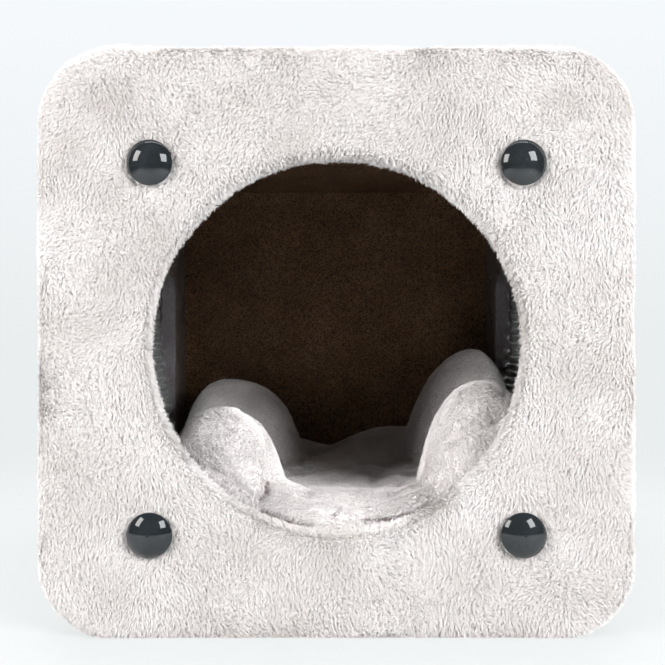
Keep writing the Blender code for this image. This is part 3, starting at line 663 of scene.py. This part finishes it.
def end_panels():
    """The doorway panel, its pile short and upright round the hole, and the closed back panel."""
    end_panel("front", "doorway_panel_plush", columns=640, face_rows=54, coarse=0.0003, seed=3,
              count=520000, pile_seed=21,
              shorter=lambda spots: 0.62 + 0.38 * ease((past_door(spots) - 0.002) / 0.013),
              standing=lambda spots: ease((0.0115 - past_door(spots)) / 0.0105))
    end_panel("rear", "rear_panel_plush", columns=520, face_rows=84, coarse=0.0005, seed=5,
              count=230000, pile_seed=22)


# Sleeve round the box

def rectangle_loop(half, radius, count):
    """Evenly spaced points along a rounded rectangle, as (x, z)."""
    flat = (2 * (half[0] - radius), 2 * (half[1] - radius))
    bend = np.pi / 2 * radius
    total = 2 * (flat[0] + flat[1]) + 4 * bend
    sides = ((flat[1], (0, 1), (half[0], -flat[1] / 2), (1, 1)),
             (flat[0], (-1, 0), (flat[0] / 2, half[1]), (-1, 1)),
             (flat[1], (0, -1), (-half[0], flat[1] / 2), (-1, -1)),
             (flat[0], (1, 0), (-flat[0] / 2, -half[1]), (1, -1)))
    places = []
    for step in range(count):
        left = total * step / count
        for k, (length, way, start, signs) in enumerate(sides):
            if left <= length:
                places.append((start[0] + way[0] * left, start[1] + way[1] * left))
                break
            left -= length
            if left <= bend:
                angle = k * np.pi / 2 + left / radius
                places.append((signs[0] * flat[0] / 2 + radius * math.cos(angle),
                               signs[1] * flat[1] / 2 + radius * math.sin(angle)))
                break
            left -= bend
    return np.array(places)


def window_box():
    """Low and high corners of a window as (y, z), from the frame that stands round it."""
    low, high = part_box("left_mat_frame")
    grown = BINDING_LAP + GAP + FRAME_FOOT
    return np.array([low.y + grown, low.z + grown]), np.array([high.y - grown, high.z - grown])


def window_ring(offset, corner=None):
    """The window's outline grown by an offset, as (y, z) points with the same count whatever its size."""
    low, high = window_box()
    middle, half = (low + high) / 2, (high - low) / 2 + offset
    radius = WINDOW_CORNER + offset if corner is None else corner
    return middle + rectangle_loop(half, max(radius, 0.0005), RING_POINTS)


def window_row(ring, x):
    """A ring of (y, z) points as places at one x."""
    return np.column_stack([np.full(len(ring), x), ring])


def outside_of_outline(spots, low, high, radius):
    """Signed distance of (y, z) points from a rounded rectangle, negative inside."""
    middle, half = (low + high) / 2, (high - low) / 2 - radius
    away = np.abs(spots - middle) - half
    return np.linalg.norm(np.maximum(away, 0), axis=1) + np.minimum(away.max(1), 0) - radius


def sleeve():
    """Plush sleeve round the box, open where the mat frames stand."""
    half = np.array([sleeve_high.x - sleeve_low.x, sleeve_high.z - sleeve_low.z]) / 2 - BACKING_DEPTH
    radius = RAIL_RADIUS + GAP + COVER - BACKING_DEPTH
    loop = rectangle_loop(half, radius, 380)
    along = np.linspace(sleeve_low.y + 0.0003, sleeve_high.y - 0.0003, 106)
    points = np.zeros((len(along), len(loop), 3))
    points[..., 0] = loop[None, :, 0]
    points[..., 1] = along[:, None]
    points[..., 2] = CENTRE + loop[None, :, 1]
    mesh = grid_mesh("sleeve", points)
    low, high = window_box()
    grown = BINDING_LAP + GAP + FRAME_FOOT + GAP
    opening = (low - grown, high + grown, FRAME_CORNER + GAP)
    places = vertex_array(mesh)
    away = outside_of_outline(places[:, 1:], *opening)
    inside = (away < 0) & (np.abs(places[:, 0]) > half[0] - 0.0005)
    faces = [tuple(face.vertices) for face in mesh.polygons if not all(inside[v] for v in face.vertices)]
    step = 1e-4
    slope = np.stack([outside_of_outline(places[:, 1:] + step * np.array(way), *opening) - away
                      for way in ((1, 0), (0, 1))], axis=1) / step
    places[inside, 1:] -= (slope * away[:, None])[inside]
    kept = sorted(set(itertools.chain(*faces)))
    number = {v: i for i, v in enumerate(kept)}
    mesh.clear_geometry()
    mesh.from_pydata(places[kept].tolist(), [], [[number[v] for v in face] for face in faces])
    shell = placed("sleeve shell", mesh)
    solid = shell.modifiers.new("thickness", "SOLIDIFY")
    solid.thickness = COVER - BACKING_DEPTH
    solid.offset = 1 if mesh.polygons[0].normal.dot(Vector((1, 0, 0))) < 0 else -1
    solid.use_even_offset = True
    thick = facing_out(evaluated(shell))
    bpy.data.objects.remove(shell)
    relief(thick, fine=0.0003, coarse=0.0006, seed=8)
    piece = add_piece("sleeve_plush", thick, "tunnel", "plush", ["body_cover"])

    def shown(spots):
        off_middle = np.abs(spots[:, [0, 2]] - (0, CENTRE))
        corner = np.linalg.norm(np.maximum(off_middle - half + radius, 0), axis=1)
        return (off_middle >= half - BARE_EDGE).any(1) | (corner >= radius - BARE_EDGE)

    grow_pile(piece, "tunnel", "pile", count=270000, seed=23, density=shown, flow=(0, 1, -0.4))


# Windows

def side_span(solid):
    """Least and greatest distance of a node from the tunnel's middle plane."""
    low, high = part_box(solid)
    return sorted((abs(low.x), abs(high.x)))


def mat_frame(name, side):
    """The plush-wrapped frame that laps the mat: a padded band with rounded edges."""
    solid = f"{name}_mat_frame"
    foot, outside = side_span(solid)
    outside -= BACKING_DEPTH
    inner = BINDING_LAP + GAP
    outer = inner + FRAME_FOOT - BACKING_DEPTH
    lip = -FRAME_LIP + BACKING_DEPTH
    lip_inside = outside + BACKING_DEPTH - PLUSH + 0.0007
    soft = FRAME_ROUNDING
    rise, fall = quarter_turn(5)
    rise, fall = soft * (1 - rise), soft * fall
    edge = [(outer - f, outside - r, FRAME_CORNER - f) for r, f in zip(rise, fall)]
    inner_corner = WINDOW_CORNER + lip
    lap = [(lip + r, outside - f, inner_corner + r) for r, f in zip(rise, fall)]
    key = [(inner, foot, FRAME_INNER_CORNER), (outer, foot, FRAME_CORNER)] + edge + lap
    key += [(lip, lip_inside, inner_corner), (inner, lip_inside, FRAME_INNER_CORNER)]
    rows = []
    for start, end in zip(key, key[1:] + key[:1]):
        steps = max(1, round(math.dist(start[:2], end[:2]) / 0.0022))
        for k in range(steps):
            offset, reach, corner = (a + (b - a) * k / steps for a, b in zip(start, end))
            rows.append(window_row(window_ring(offset, corner), side * reach))
    mesh = grid_mesh(f"{name} frame", np.array(rows), joined=True)
    relief(mesh, fine=0.0003, coarse=0.0004, seed=12)
    piece = add_piece(solid + "_plush", mesh, "tunnel", "plush", [solid])
    grow_pile(piece, "tunnel", "pile", count=64000, seed=31 + side,
              density=lambda spots: np.abs(spots[:, 0]) > foot + BARE_FOOT)


def window_binding(name, side):
    """Plush wrapped round the window's edge, wide inside and narrow outside."""
    solid = f"{name}_window_binding"
    inside, outside = side_span(solid)
    board_inside = inside + BINDING
    board_outside = outside - BINDING
    low, high = (np.array(corner)[1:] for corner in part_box(solid))
    middle, half = (high + low) / 2, (high - low) / 2

    def flange(inset):
        return middle + rectangle_loop(half - inset, WINDOW_CORNER - inset, RING_POINTS)

    lining, edge, lap = (window_ring(offset) for offset in (-GAP - BINDING, -GAP, BINDING_LAP))
    rim = window_ring(-GAP - BINDING + BINDING_EDGE)
    key = [(flange(0), board_inside), (flange(0), inside + 0.0005), (flange(0.0006), inside), (rim, inside),
           (lining, inside + BINDING_EDGE), (lining, outside - 0.0006), (rim, outside), (lap, outside),
           (lap, board_outside), (edge, board_outside), (edge, board_inside)]
    rows = []
    for (first, x0), (second, x1) in zip(key, key[1:] + key[:1]):
        wide = max(np.linalg.norm(second - first, axis=1).max(), abs(x1 - x0))
        steps = max(1, round(wide / 0.0020))
        for k in range(steps):
            x = side * (x0 + (x1 - x0) * k / steps)
            rows.append(window_row(first + (second - first) * k / steps, x))
    mesh = grid_mesh(f"{name} binding", np.array(rows), joined=True)
    piece = add_piece(f"{name}_window_trim", mesh, "tunnel", "binding_plush", [solid])

    def shown(spots):
        distance = outside_of_outline(spots[:, 1:], *window_box(), WINDOW_CORNER)
        reach = np.abs(spots[:, 0])
        return (reach < inside + 0.0006) | ((distance < -0.0009) & (reach < outside - 0.001))

    # The pile on the flange face is painted dark as shade
    grow_pile(piece, "tunnel", "binding_pile", count=50000, seed=41 + side, density=shown,
              length=0.0026, lean=64, painted_darkness=lambda spots: np.abs(spots[:, 0]) < BINDING_FACE)


def mat_sag(height):
    """How far the mat hangs into the window at a height: most near its foot, nothing at its ends."""
    low, high = window_box()
    foot = low[1] + WINDOW_CORNER
    peak = foot + SAG_PEAK
    top = high[1] - SAG_TOP
    if height <= foot or height >= top:
        return 0.0
    if height < peak:
        return SAG_DEPTH * math.sin(math.pi / 2 * (height - foot) / (peak - foot)) ** 2
    return SAG_DEPTH * ((top - height) / (top - peak)) ** 2


def spaced(line, step, count=round):
    """Points at even steps along a line, and how far along it they lie."""
    lengths = np.concatenate([[0], np.cumsum(np.linalg.norm(np.diff(line, axis=0), axis=1))])
    spots = np.linspace(0, lengths[-1], count(lengths[-1] / step))
    return np.column_stack([np.interp(spots, lengths, way) for way in line.T]), spots


def mat_rows(plane):
    """Middle of each rope row as (distance from the middle plane, height), even along the sagging mat."""
    low, high = window_box()
    start = low[1] - MAT_LAP + ROPE_DIAMETER / 2
    end = high[1] + MAT_LAP - ROPE_DIAMETER / 2
    line = np.array([(plane - mat_sag(height), height) for height in np.linspace(start, end, 401)])
    return spaced(line, ROPE_DIAMETER + ROPE_SPACING, lambda share: int(share) + 1)[0]


def mat_route(plane):
    """The rope's line: rows along the tunnel, joined by half turns at their ends."""
    low, high = window_box()
    middles = mat_rows(plane)
    clear = GAP + BINDING + GAP + ROPE_DIAMETER / 2
    pitch = np.linalg.norm(middles[1] - middles[0])
    ends = (low[0] + clear + pitch / 2, high[0] - clear - pitch / 2)
    route = [(middles[0][0], ends[0], middles[0][1])]
    for row, middle in enumerate(middles):
        far = ends[(row + 1) % 2]
        outward = 1 if row % 2 == 0 else -1
        route.append((middle[0], far, middle[1]))
        if row + 1 == len(middles):
            break
        half = (middles[row + 1] - middle) / 2
        reach = np.linalg.norm(half)
        for angle in np.radians(np.linspace(-90, 90, 9)[1:]):
            across = middle + half + half * math.sin(angle)
            route.append((across[0], far + outward * reach * math.cos(angle), across[1]))
    return np.array(route)


def sisal_mat(name, side):
    """One twisted three-strand rope laid to and fro, with loose fibres."""
    outer = side_span(f"{name}_sisal_mat")[1]
    line, spots = spaced(mat_route(outer - ROPE_DIAMETER / 2), ROPE_STEP)
    along = unit(np.gradient(line, axis=0))
    outward = unit(laid_on(along, np.tile((1.0, 0.0, 0.0), (len(line), 1))))
    across = np.cross(along, outward)
    strand_reach = STRAND_SHARE * ROPE_DIAMETER / 2
    strand = ROPE_DIAMETER / 2 - strand_reach
    turn = 2 * np.pi * np.arange(ROPE_SIDES) / ROPE_SIDES
    twisted = (turn[None, :] + 2 * np.pi * spots[:, None] / ROPE_LAY) % (2 * np.pi / 3) - np.pi / 3
    radius = strand_reach * np.cos(twisted) + np.sqrt(strand ** 2 - (strand_reach * np.sin(twisted)) ** 2)
    points = (line[:, None] + radius[..., None] * (np.cos(turn)[None, :, None] * outward[:, None]
                                                   + np.sin(turn)[None, :, None] * across[:, None]))
    points[..., 0] *= side
    mesh = grid_mesh(f"{name} rope", points, closed=True)
    relief(mesh, fine=0.0002, coarse=0.00015, seed=15, fine_size=0.0016, coarse_size=0.006)
    piece = add_piece(f"{name}_rope_mat", mesh, "tunnel", "sisal", [f"{name}_sisal_mat"])

    rng = np.random.default_rng(51 + side)
    roots, normals = roots_on(piece.data, FIBRES, rng)
    lie = np.tile((0.0, 1.0, 0.45), (FIBRES, 1)) + 0.75 * rng.normal(size=(FIBRES, 3))
    lie = unit(laid_on(normals, lie))
    lie *= np.where(rng.random(FIBRES) < 0.5, 1, -1)[:, None]
    reach = FIBRE_LENGTHS[0] + FIBRE_LENGTHS[1] * rng.random(FIBRES) ** 2
    lift = FIBRE_LIFTS[0] + FIBRE_LIFTS[1] * rng.random(FIBRES) ** 3
    share = np.linspace(0, 1, FIBRE_POINTS)
    strands = np.stack([
        roots + lie * (reach * s)[:, None] + normals * (lift * np.sin(np.pi * 0.8 * s))[:, None]
        for s in share], axis=1)
    radii = FIBRE_RADIUS * (1 - 0.5 * share)[None, :] * (0.7 + 0.8 * rng.random(FIBRES))[:, None]
    add_strands(piece.name + "_fibres", strands, radii, rng.random(FIBRES), "tunnel", "sisal_fibre")


# Bolt covers: sides of their rings and reach of the mark that the mould's gate left

CAP_SIDES = 96
GATE = 0.0009


def dome_profile(radius, height, steps):
    """A spherical dome as (radius, height over the panel), from its top to its rim."""
    ball = (radius ** 2 + height ** 2) / (2 * height)
    angles = np.linspace(0, math.asin(radius / ball), steps)
    return [(ball * math.sin(a), CAP_SKIRT + height - ball * (1 - math.cos(a))) for a in angles]


def cap_dome(end, corner):
    """A bolt cover: a thin domed moulding, hollow inside, with a soft rim and the mark of its gate."""
    name = f"{end}_cap_{corner}"
    low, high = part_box(name)
    outward, seat = (-1, high.y) if end == "front" else (1, low.y)
    radius = (high.x - low.x) / 2
    height = high.y - low.y
    dome = height - CAP_SKIRT
    inner = radius - CAP_WALL
    profile = [(GATE * k / 3, height + 0.00006 * (1 - (k / 3) ** 2)) for k in range(1, 4)]
    profile += [spot for spot in dome_profile(radius, dome, 36) if spot[0] > GATE]
    profile += [(radius, CAP_SKIRT * k / 4) for k in (3, 2, 1)]
    profile += [(radius - 0.0003, 0.0001), (radius - CAP_WALL / 2, 0.0), (inner, 0.0002)]
    profile += dome_profile(inner, dome - CAP_WALL, 14)[:0:-1]
    turn = np.linspace(0, 2 * np.pi, CAP_SIDES, endpoint=False)
    points = turned([(r, outward * up) for r, up in profile], turn)
    points += np.array([(low.x + high.x) / 2, seat, (low.z + high.z) / 2])
    mesh = grid_mesh(name + " dome", points, closed=True)
    add_piece(name + "_dome", mesh, name + "_body", "black_gloss", [name])


# Cushion

# Folds of the cushion: middle, and reach to the left, right, front and back, as shares of its half width
# and half length; then height over the floor and fullness
FOLDS = (
    ((-0.50, -0.66), (0.35, 0.27, 0.37, 0.50), 0.118, 2.2),
    ((-0.635, 0.53), (0.30, 0.43, 0.54, 0.48), 0.130, 2.5),
    ((0.71, -0.66), (0.31, 0.32, 0.37, 0.48), 0.140, 2.6),
    ((0.865, 0.42), (0.45, 0.24, 0.57, 0.58), 0.166, 2.3),
    ((0.43, 0.76), (0.50, 0.41, 0.52, 0.30), 0.0765, 2.2),
    ((-0.44, 0.80), (0.30, 0.50, 0.30, 0.25), 0.067, 1.8),
    ((0.03, -0.77), (0.66, 0.62, 0.25, 0.20), 0.0485, 2.0),
    ((-0.27, -0.785), (0.26, 0.17, 0.22, 0.22), 0.062, 2.0),
    ((0.42, -0.785), (0.18, 0.28, 0.22, 0.22), 0.062, 2.0),
)
FOLD_FOOT = 0.030
FOLD_BLEND = 0.007
FOLD_SLOPE = 1.3
CUSHION_BED = 0.047
CUSHION_CELLS = 120
SEAM_HEIGHT = 0.0275
SEAM_PULL = 0.13
STUFFING = {"quality": 5, "mass": 0.3, "tension_stiffness": 12, "compression_stiffness": 12,
            "shear_stiffness": 6, "bending_stiffness": 0.4, "use_pressure": True}

# Tones of the cushion's pile: how much darker its front roll is painted, as painted shade, where the roll
# ends behind and above, over which slopes, how much lighter all the rest is, and the depth from which a
# crease's pile is painted dark as shade
ROLL_SHADE = 0.50
ROLL_BACK, ROLL_TOP = -0.100, 0.102
ROLL_SLOPES = (0.03, 0.022)
LIGHTER = 0.16
CREASE_SHADE_DEPTH = 0.0041

# Creases of the cushion: points in the photograph's pixels, depth in metres, width in pixels, and the
# farthest place along the tunnel that they reach
CREASES = (
    (((333, 516), (342, 507)), 0.0040, 2.6, -0.12),
    (((366, 521), (392, 519), (410, 514), (430, 505), (447, 495), (456, 488)), 0.0080, 2.4, -0.12),
    (((262, 511), (279, 518), (296, 523), (311, 527)), 0.0070, 2.4, -0.12),
    (((260, 499), (268, 491), (268, 483)), 0.0060, 4.0, -0.08),
    (((240, 410), (254, 421), (264, 438), (266, 456)), 0.0022, 2.2, -0.05),
    (((407, 437), (395, 454), (383, 471), (375, 483)), 0.0030, 8.0, 0.10),
    (((300, 497), (322, 500), (342, 507), (372, 504), (405, 493), (432, 480)), 0.0022, 2.6, -0.11),
    (((212, 470), (232, 478), (250, 494)), 0.0026, 4.0, -0.10),
    (((452, 440), (470, 428), (496, 424)), 0.0030, 5.0, -0.10),
)


def folded_height(x, y):
    """Height of the cushion's top over the floor, places as shares: a low bed among pressed rolls."""
    heights = [np.full_like(x, CUSHION_BED)]
    for (middle_x, middle_y), (left, right, front, back), top, fullness in FOLDS:
        across = np.abs(x - middle_x) / np.where(x < middle_x, left, right)
        along = np.abs(y - middle_y) / np.where(y < middle_y, front, back)
        inside = np.clip(1 - across ** fullness - along ** fullness, 0, 1)
        heights.append(FOLD_FOOT + (top - FOLD_FOOT) * inside ** (FOLD_SLOPE / fullness))
    heights = np.array(heights)
    most = heights.max(0)
    return most + FOLD_BLEND * np.log(np.exp((heights - most) / FOLD_BLEND).sum(0))


def seen_at(places):
    """Where places appear in the photograph, in its pixels."""
    scale = METRES_PER_PIXEL * (1 + (places[:, 1] - panel_low.y) / CAMERA_DISTANCE)
    return np.column_stack([VANISHING_POINT[0] + (places[:, 0] - CAMERA_X) / scale,
                            VANISHING_POINT[1] - (places[:, 2] - CENTRE) / scale])


def creased(places):
    """How far the creases draw the cushion's cover in."""
    spots = seen_at(places)
    sunk = np.zeros(len(places))
    for line, depth, width, farthest in CREASES:
        near = ease((farthest - places[:, 1]) / 0.01)
        for start, end in zip(line, line[1:]):
            start, way = np.array(start), np.array(end) - np.array(start)
            share = np.clip(((spots - start) @ way) / (way @ way), 0, 1)
            away = np.linalg.norm(spots - start - share[:, None] * way, axis=1)
            sunk = np.maximum(sunk, depth * near * np.exp(-(away / width) ** 2))
    return sunk


def border(grid):
    """A grid's outer entries in order, once round."""
    return np.concatenate([grid[:-1, 0], grid[-1, :-1], grid[:0:-1, -1], grid[0, :0:-1]])


def cushion_shape():
    """The folded cushion as a closed mesh: top, drawn-in rim and flat underside."""
    low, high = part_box("cushion")
    middle = np.array(Vector(((low.x + high.x) / 2, (low.y + high.y) / 2, 0)))
    half = np.array([high.x - low.x, high.y - low.y]) / 2
    wide, long = half - BACKING_DEPTH / 2
    base = low.z + 0.0008
    cells = CUSHION_CELLS
    share = np.linspace(-1, 1, cells + 1)
    across, along = np.meshgrid(share, share, indexing="ij")
    u, v = np.sin(np.pi / 2 * across), np.sin(np.pi / 2 * along)
    x = wide * u * (1 - SEAM_PULL * v ** 4)
    y = long * v * (1 - SEAM_PULL * u ** 4)
    edge = np.sqrt(np.maximum(np.cos(np.pi / 2 * across) * np.cos(np.pi / 2 * along), 0))
    swell = folded_height(x / half[0], y / half[1]) - SEAM_HEIGHT
    z = SEAM_HEIGHT + swell * np.minimum(1, 1.35 * edge) ** 0.8
    top = np.stack([x + middle[0], y + middle[1], base + z], axis=-1)
    rim = border(top)
    vertices = list(top.reshape(-1, 3))
    number = np.arange((cells + 1) ** 2).reshape(cells + 1, cells + 1)
    faces = [(number[i, j], number[i + 1, j], number[i + 1, j + 1], number[i, j + 1])
             for i in range(cells) for j in range(cells)]
    above = border(number)
    foot = (0.1475 - BACKING_DEPTH) / wide
    for height, scale in ((0.0265, 0.97), (0.0262, 0.90), (0.0262, foot), (0.015, foot), (0.0, foot)):
        row = middle + (rim - middle) * scale
        row[:, 2] = base + height
        below = np.arange(len(vertices), len(vertices) + len(row))
        vertices += list(row)
        faces += zip(np.roll(above, -1), above, below, np.roll(below, -1))
        above = below
    faces.append(tuple(above[::-1]))
    mesh = bpy.data.meshes.new("cushion shape")
    mesh.from_pydata([tuple(v) for v in vertices], [], [tuple(int(i) for i in face) for face in faces])
    return facing_out(mesh)


def puffed(mesh, voxel, pressure, frames, most):
    """Stuff a closed mesh by a short cloth simulation, each point moving no more than a limit."""
    pad = placed("stuffing", mesh)
    remesh = pad.modifiers.new("even faces", "REMESH")
    remesh.mode = "VOXEL"
    remesh.voxel_size = voxel
    pad.data = evaluated(pad)
    pad.modifiers.clear()
    before = vertex_array(pad.data)
    cloth = pad.modifiers.new("stuffing", "CLOTH")
    for key, value in {**STUFFING, "uniform_pressure_force": pressure}.items():
        setattr(cloth.settings, key, value)
    cloth.settings.effector_weights.gravity = 0
    cloth.collision_settings.use_collision = False
    for number in range(1, frames + 1):
        bpy.context.scene.frame_set(number)
    moved = vertex_array(evaluated(pad)) - before
    length = np.linalg.norm(moved, axis=1, keepdims=True)
    set_places(pad.data, before + moved * np.minimum(1, most / np.maximum(length, 1e-9)))
    pad.modifiers.clear()
    bpy.context.scene.frame_set(1)
    smooth = pad.modifiers.new("smooth", "SUBSURF")
    smooth.levels = smooth.render_levels = 1
    made = evaluated(pad)
    bpy.data.objects.remove(pad)
    return made


def cushion():
    """The loose cushion: stuffed, folded up against both walls and covered in pile."""
    low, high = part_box("cushion")
    mesh = puffed(cushion_shape(), voxel=0.0036, pressure=4.0, frames=20, most=0.004)
    places = vertex_array(mesh)
    places[:, 0] = np.clip(places[:, 0], low.x + BACKING_DEPTH, high.x - BACKING_DEPTH)
    places[:, 1] = np.clip(places[:, 1], low.y + BACKING_DEPTH, high.y - BACKING_DEPTH)
    places[:, 2] = np.clip(places[:, 2], low.z + 0.0004, None)
    places -= vertex_array(mesh, "normal") * creased(places)[:, None]
    set_places(mesh, places)
    relief(mesh, fine=0.0003, coarse=0.0009, seed=17, fine_size=0.0055, coarse_size=0.022)
    piece = add_piece("cushion_plush", mesh, "cushion", "cushion_plush", ["cushion"])

    # Painted shade on the front roll's pile, with all the pile's tones lifted
    def painted_shading(spots):
        front = ease((ROLL_BACK - spots[:, 1]) / ROLL_SLOPES[0])
        return ROLL_SHADE * front * ease((ROLL_TOP - spots[:, 2]) / ROLL_SLOPES[1]) - LIGHTER

    # The cushion's pile is painted dark as shade in its deep creases
    grow_pile(piece, "cushion", "cushion_pile", count=400000, seed=61,
              density=lambda spots: spots[:, 2] > low.z + 0.02,
              length=0.0029, painted_shading=painted_shading, painted_darkness=lambda spots: creased(spots) > CREASE_SHADE_DEPTH)


# Stage, light and camera

HORIZON = (0.823, 0.855, 0.862)
SKY = (0.913, 0.947, 0.973)
TABLE = (0.862, 0.886, 0.883)
FLOOR_DARK, FLOOR_LIGHT, FLOOR_FAR = (0.53, 0.548, 0.557), (0.55, 0.568, 0.577), (0.08, 0.085, 0.09)
FLOOR_REACH = 12.0
WORLD_STRENGTH = 0.09
WHITE = (1.0, 1.0, 1.0)

# Lamps: azimuth from the doorway and elevation in degrees, distance, width and height in metres, watts,
# colour, and whether polished surfaces mirror them
LAMPS = {
    "key_light": (48, 30, 1.30, 0.52, 0.66, 13, (0.96, 0.985, 1.0), True),
    "fill_light": (-63, 30, 1.30, 0.42, 0.66, 9.7, (1.0, 0.985, 0.965), True),
    "right_glow": (47, 13, 1.30, 0.60, 0.60, 22, WHITE, False),
    "left_glow": (-50, 13, 1.30, 0.36, 0.60, 20.5, WHITE, False),
    "overhead_light": (180, 78, 1.40, 1.20, 0.55, 20, WHITE, True),
    "rear_left_light": (-150, 10, 1.70, 0.80, 0.40, 12, WHITE, False),
    "rear_right_light": (150, 10, 1.70, 0.80, 0.40, 12, WHITE, False),
}


def eye_rays(tree, backdrop):
    """1 for what the camera sees, also through clear surfaces, and for mirrored rays to the backdrop."""
    path = node(tree, "ShaderNodeLightPath")
    seen = maths(tree, "MULTIPLY", backdrop, path.outputs["Is Glossy Ray"])
    seen = maths(tree, "MAXIMUM", seen, path.outputs["Is Camera Ray"])
    return maths(tree, "MAXIMUM", seen, path.outputs["Is Transmission Ray"])


def blended(tree, amount, first, second, output):
    """Send a mix of two shaders to an output node's surface."""
    mix = node(tree, "ShaderNodeMixShader", {0: amount, 1: first, 2: second})
    tree.links.new(mix.outputs["Shader"], tree.nodes[output].inputs["Surface"])


def stage():
    """A pale floor that melts into the backdrop away from the tunnel."""
    finish, tree, shader, place = new_finish("studio_floor", 0.55, Specular_IOR_Level=0.3)
    tone = ramp(tree, speckle(tree, place, 0.4, 2.0), (0.3, FLOOR_DARK), (0.7, FLOOR_LIGHT))
    away = node(tree, "ShaderNodeVectorMath", {0: place}, operation="LENGTH").outputs["Value"]
    colour = mixed(tree, "MIX", smoothed(tree, away, 0.6, 1.5), tone, FLOOR_FAR)
    tree.links.new(colour, shader.inputs["Base Color"])
    behind = smoothed(tree, one_axis(tree, place, "Y"), 0.0, 0.6)
    seen = maths(tree, "MULTIPLY", smoothed(tree, away, 0.35, 0.80, 0.70), eye_rays(tree, behind))
    backdrop = node(tree, "ShaderNodeEmission", {"Color": ramp(tree, away, (0.40, TABLE), (1.0, HORIZON))})
    blended(tree, seen, shader.outputs["BSDF"], backdrop.outputs["Emission"], "Material Output")
    mesh = bpy.data.meshes.new("studio floor")
    corners = [(x * FLOOR_REACH, y * FLOOR_REACH, 0) for x, y in ((-1, -1), (1, -1), (1, 1), (-1, 1))]
    mesh.from_pydata(corners, [], [(0, 1, 2, 3)])
    mesh.materials.append(finish)
    floor = placed("studio_floor", mesh)
    floor.location.z = -0.0006


def softbox(name, azimuth, elevation, distance, width, height, watts, colour, mirrored):
    """An area light that faces the doorway's middle."""
    light = bpy.data.lights.new(name, "AREA")
    light.shape = "RECTANGLE"
    light.size, light.size_y = width, height
    light.energy = watts
    light.color = colour
    lamp = placed(name, light)
    a, e = math.radians(azimuth), math.radians(elevation)
    back = Vector((math.sin(a) * math.cos(e), -math.cos(a) * math.cos(e), math.sin(e)))
    lamp.location = Vector((0, panel_low.y, CENTRE)) + back * distance
    lamp.visible_glossy = mirrored
    lamp.rotation_mode = "QUATERNION"
    lamp.rotation_quaternion = (-back).to_track_quat("-Z", "Y")


def world_light():
    """Even, faintly cool light from all round, and a background that is pale for the eye."""
    world = bpy.data.worlds.new("studio")
    bpy.context.scene.world = world
    world.use_nodes = True
    tree = world.node_tree
    even = tree.nodes["Background"]
    even.inputs["Color"].default_value = (0.92, 0.96, 1.0, 1.0)
    even.inputs["Strength"].default_value = WORLD_STRENGTH
    way = node(tree, "ShaderNodeTexCoord").outputs["Generated"]
    colour = ramp(tree, one_axis(tree, way, "Z"), (0.0, HORIZON), (0.34, SKY))
    backdrop = node(tree, "ShaderNodeBackground", {"Color": colour, "Strength": 1.0})
    seen = eye_rays(tree, smoothed(tree, one_axis(tree, way, "Y"), 0.45, 0.80))
    blended(tree, seen, even.outputs["Background"], backdrop.outputs["Background"], "World Output")


def camera():
    """The photograph's view, square to the doorway panel."""
    data = bpy.data.cameras.new("photo camera")
    data.sensor_width = SENSOR
    data.lens = SENSOR * CAMERA_DISTANCE / (PHOTO_PIXELS * METRES_PER_PIXEL)
    data.shift_x = (PHOTO_PIXELS / 2 - VANISHING_POINT[0]) / PHOTO_PIXELS
    data.shift_y = (VANISHING_POINT[1] - PHOTO_PIXELS / 2) / PHOTO_PIXELS
    data.clip_start = 0.01
    lens = placed("photo_camera", data)
    lens.location = (CAMERA_X, panel_low.y - CAMERA_DISTANCE, CENTRE)
    lens.rotation_euler = (math.pi / 2, 0, 0)
    bpy.context.scene.camera = lens


camera()
stage()
world_light()
for lamp_name, lamp_values in LAMPS.items():
    softbox(lamp_name, *lamp_values)
bpy.context.scene.view_settings.view_transform = "Standard"

for part in frame["record"]["subparts"]:
    cad_materials = frame["nodes"][part["node"]].data.materials
    cad_materials.clear()
    cad_materials.append(FINISHES[part["material_slot"]])

end_panels()
sleeve()
for side_name, side_sign in SIDES.items():
    window_binding(side_name, side_sign)
    sisal_mat(side_name, side_sign)
    mat_frame(side_name, side_sign)
for cap_corner in CORNERS:
    cap_dome("front", cap_corner)
    cap_dome("rear", cap_corner)
cushion()
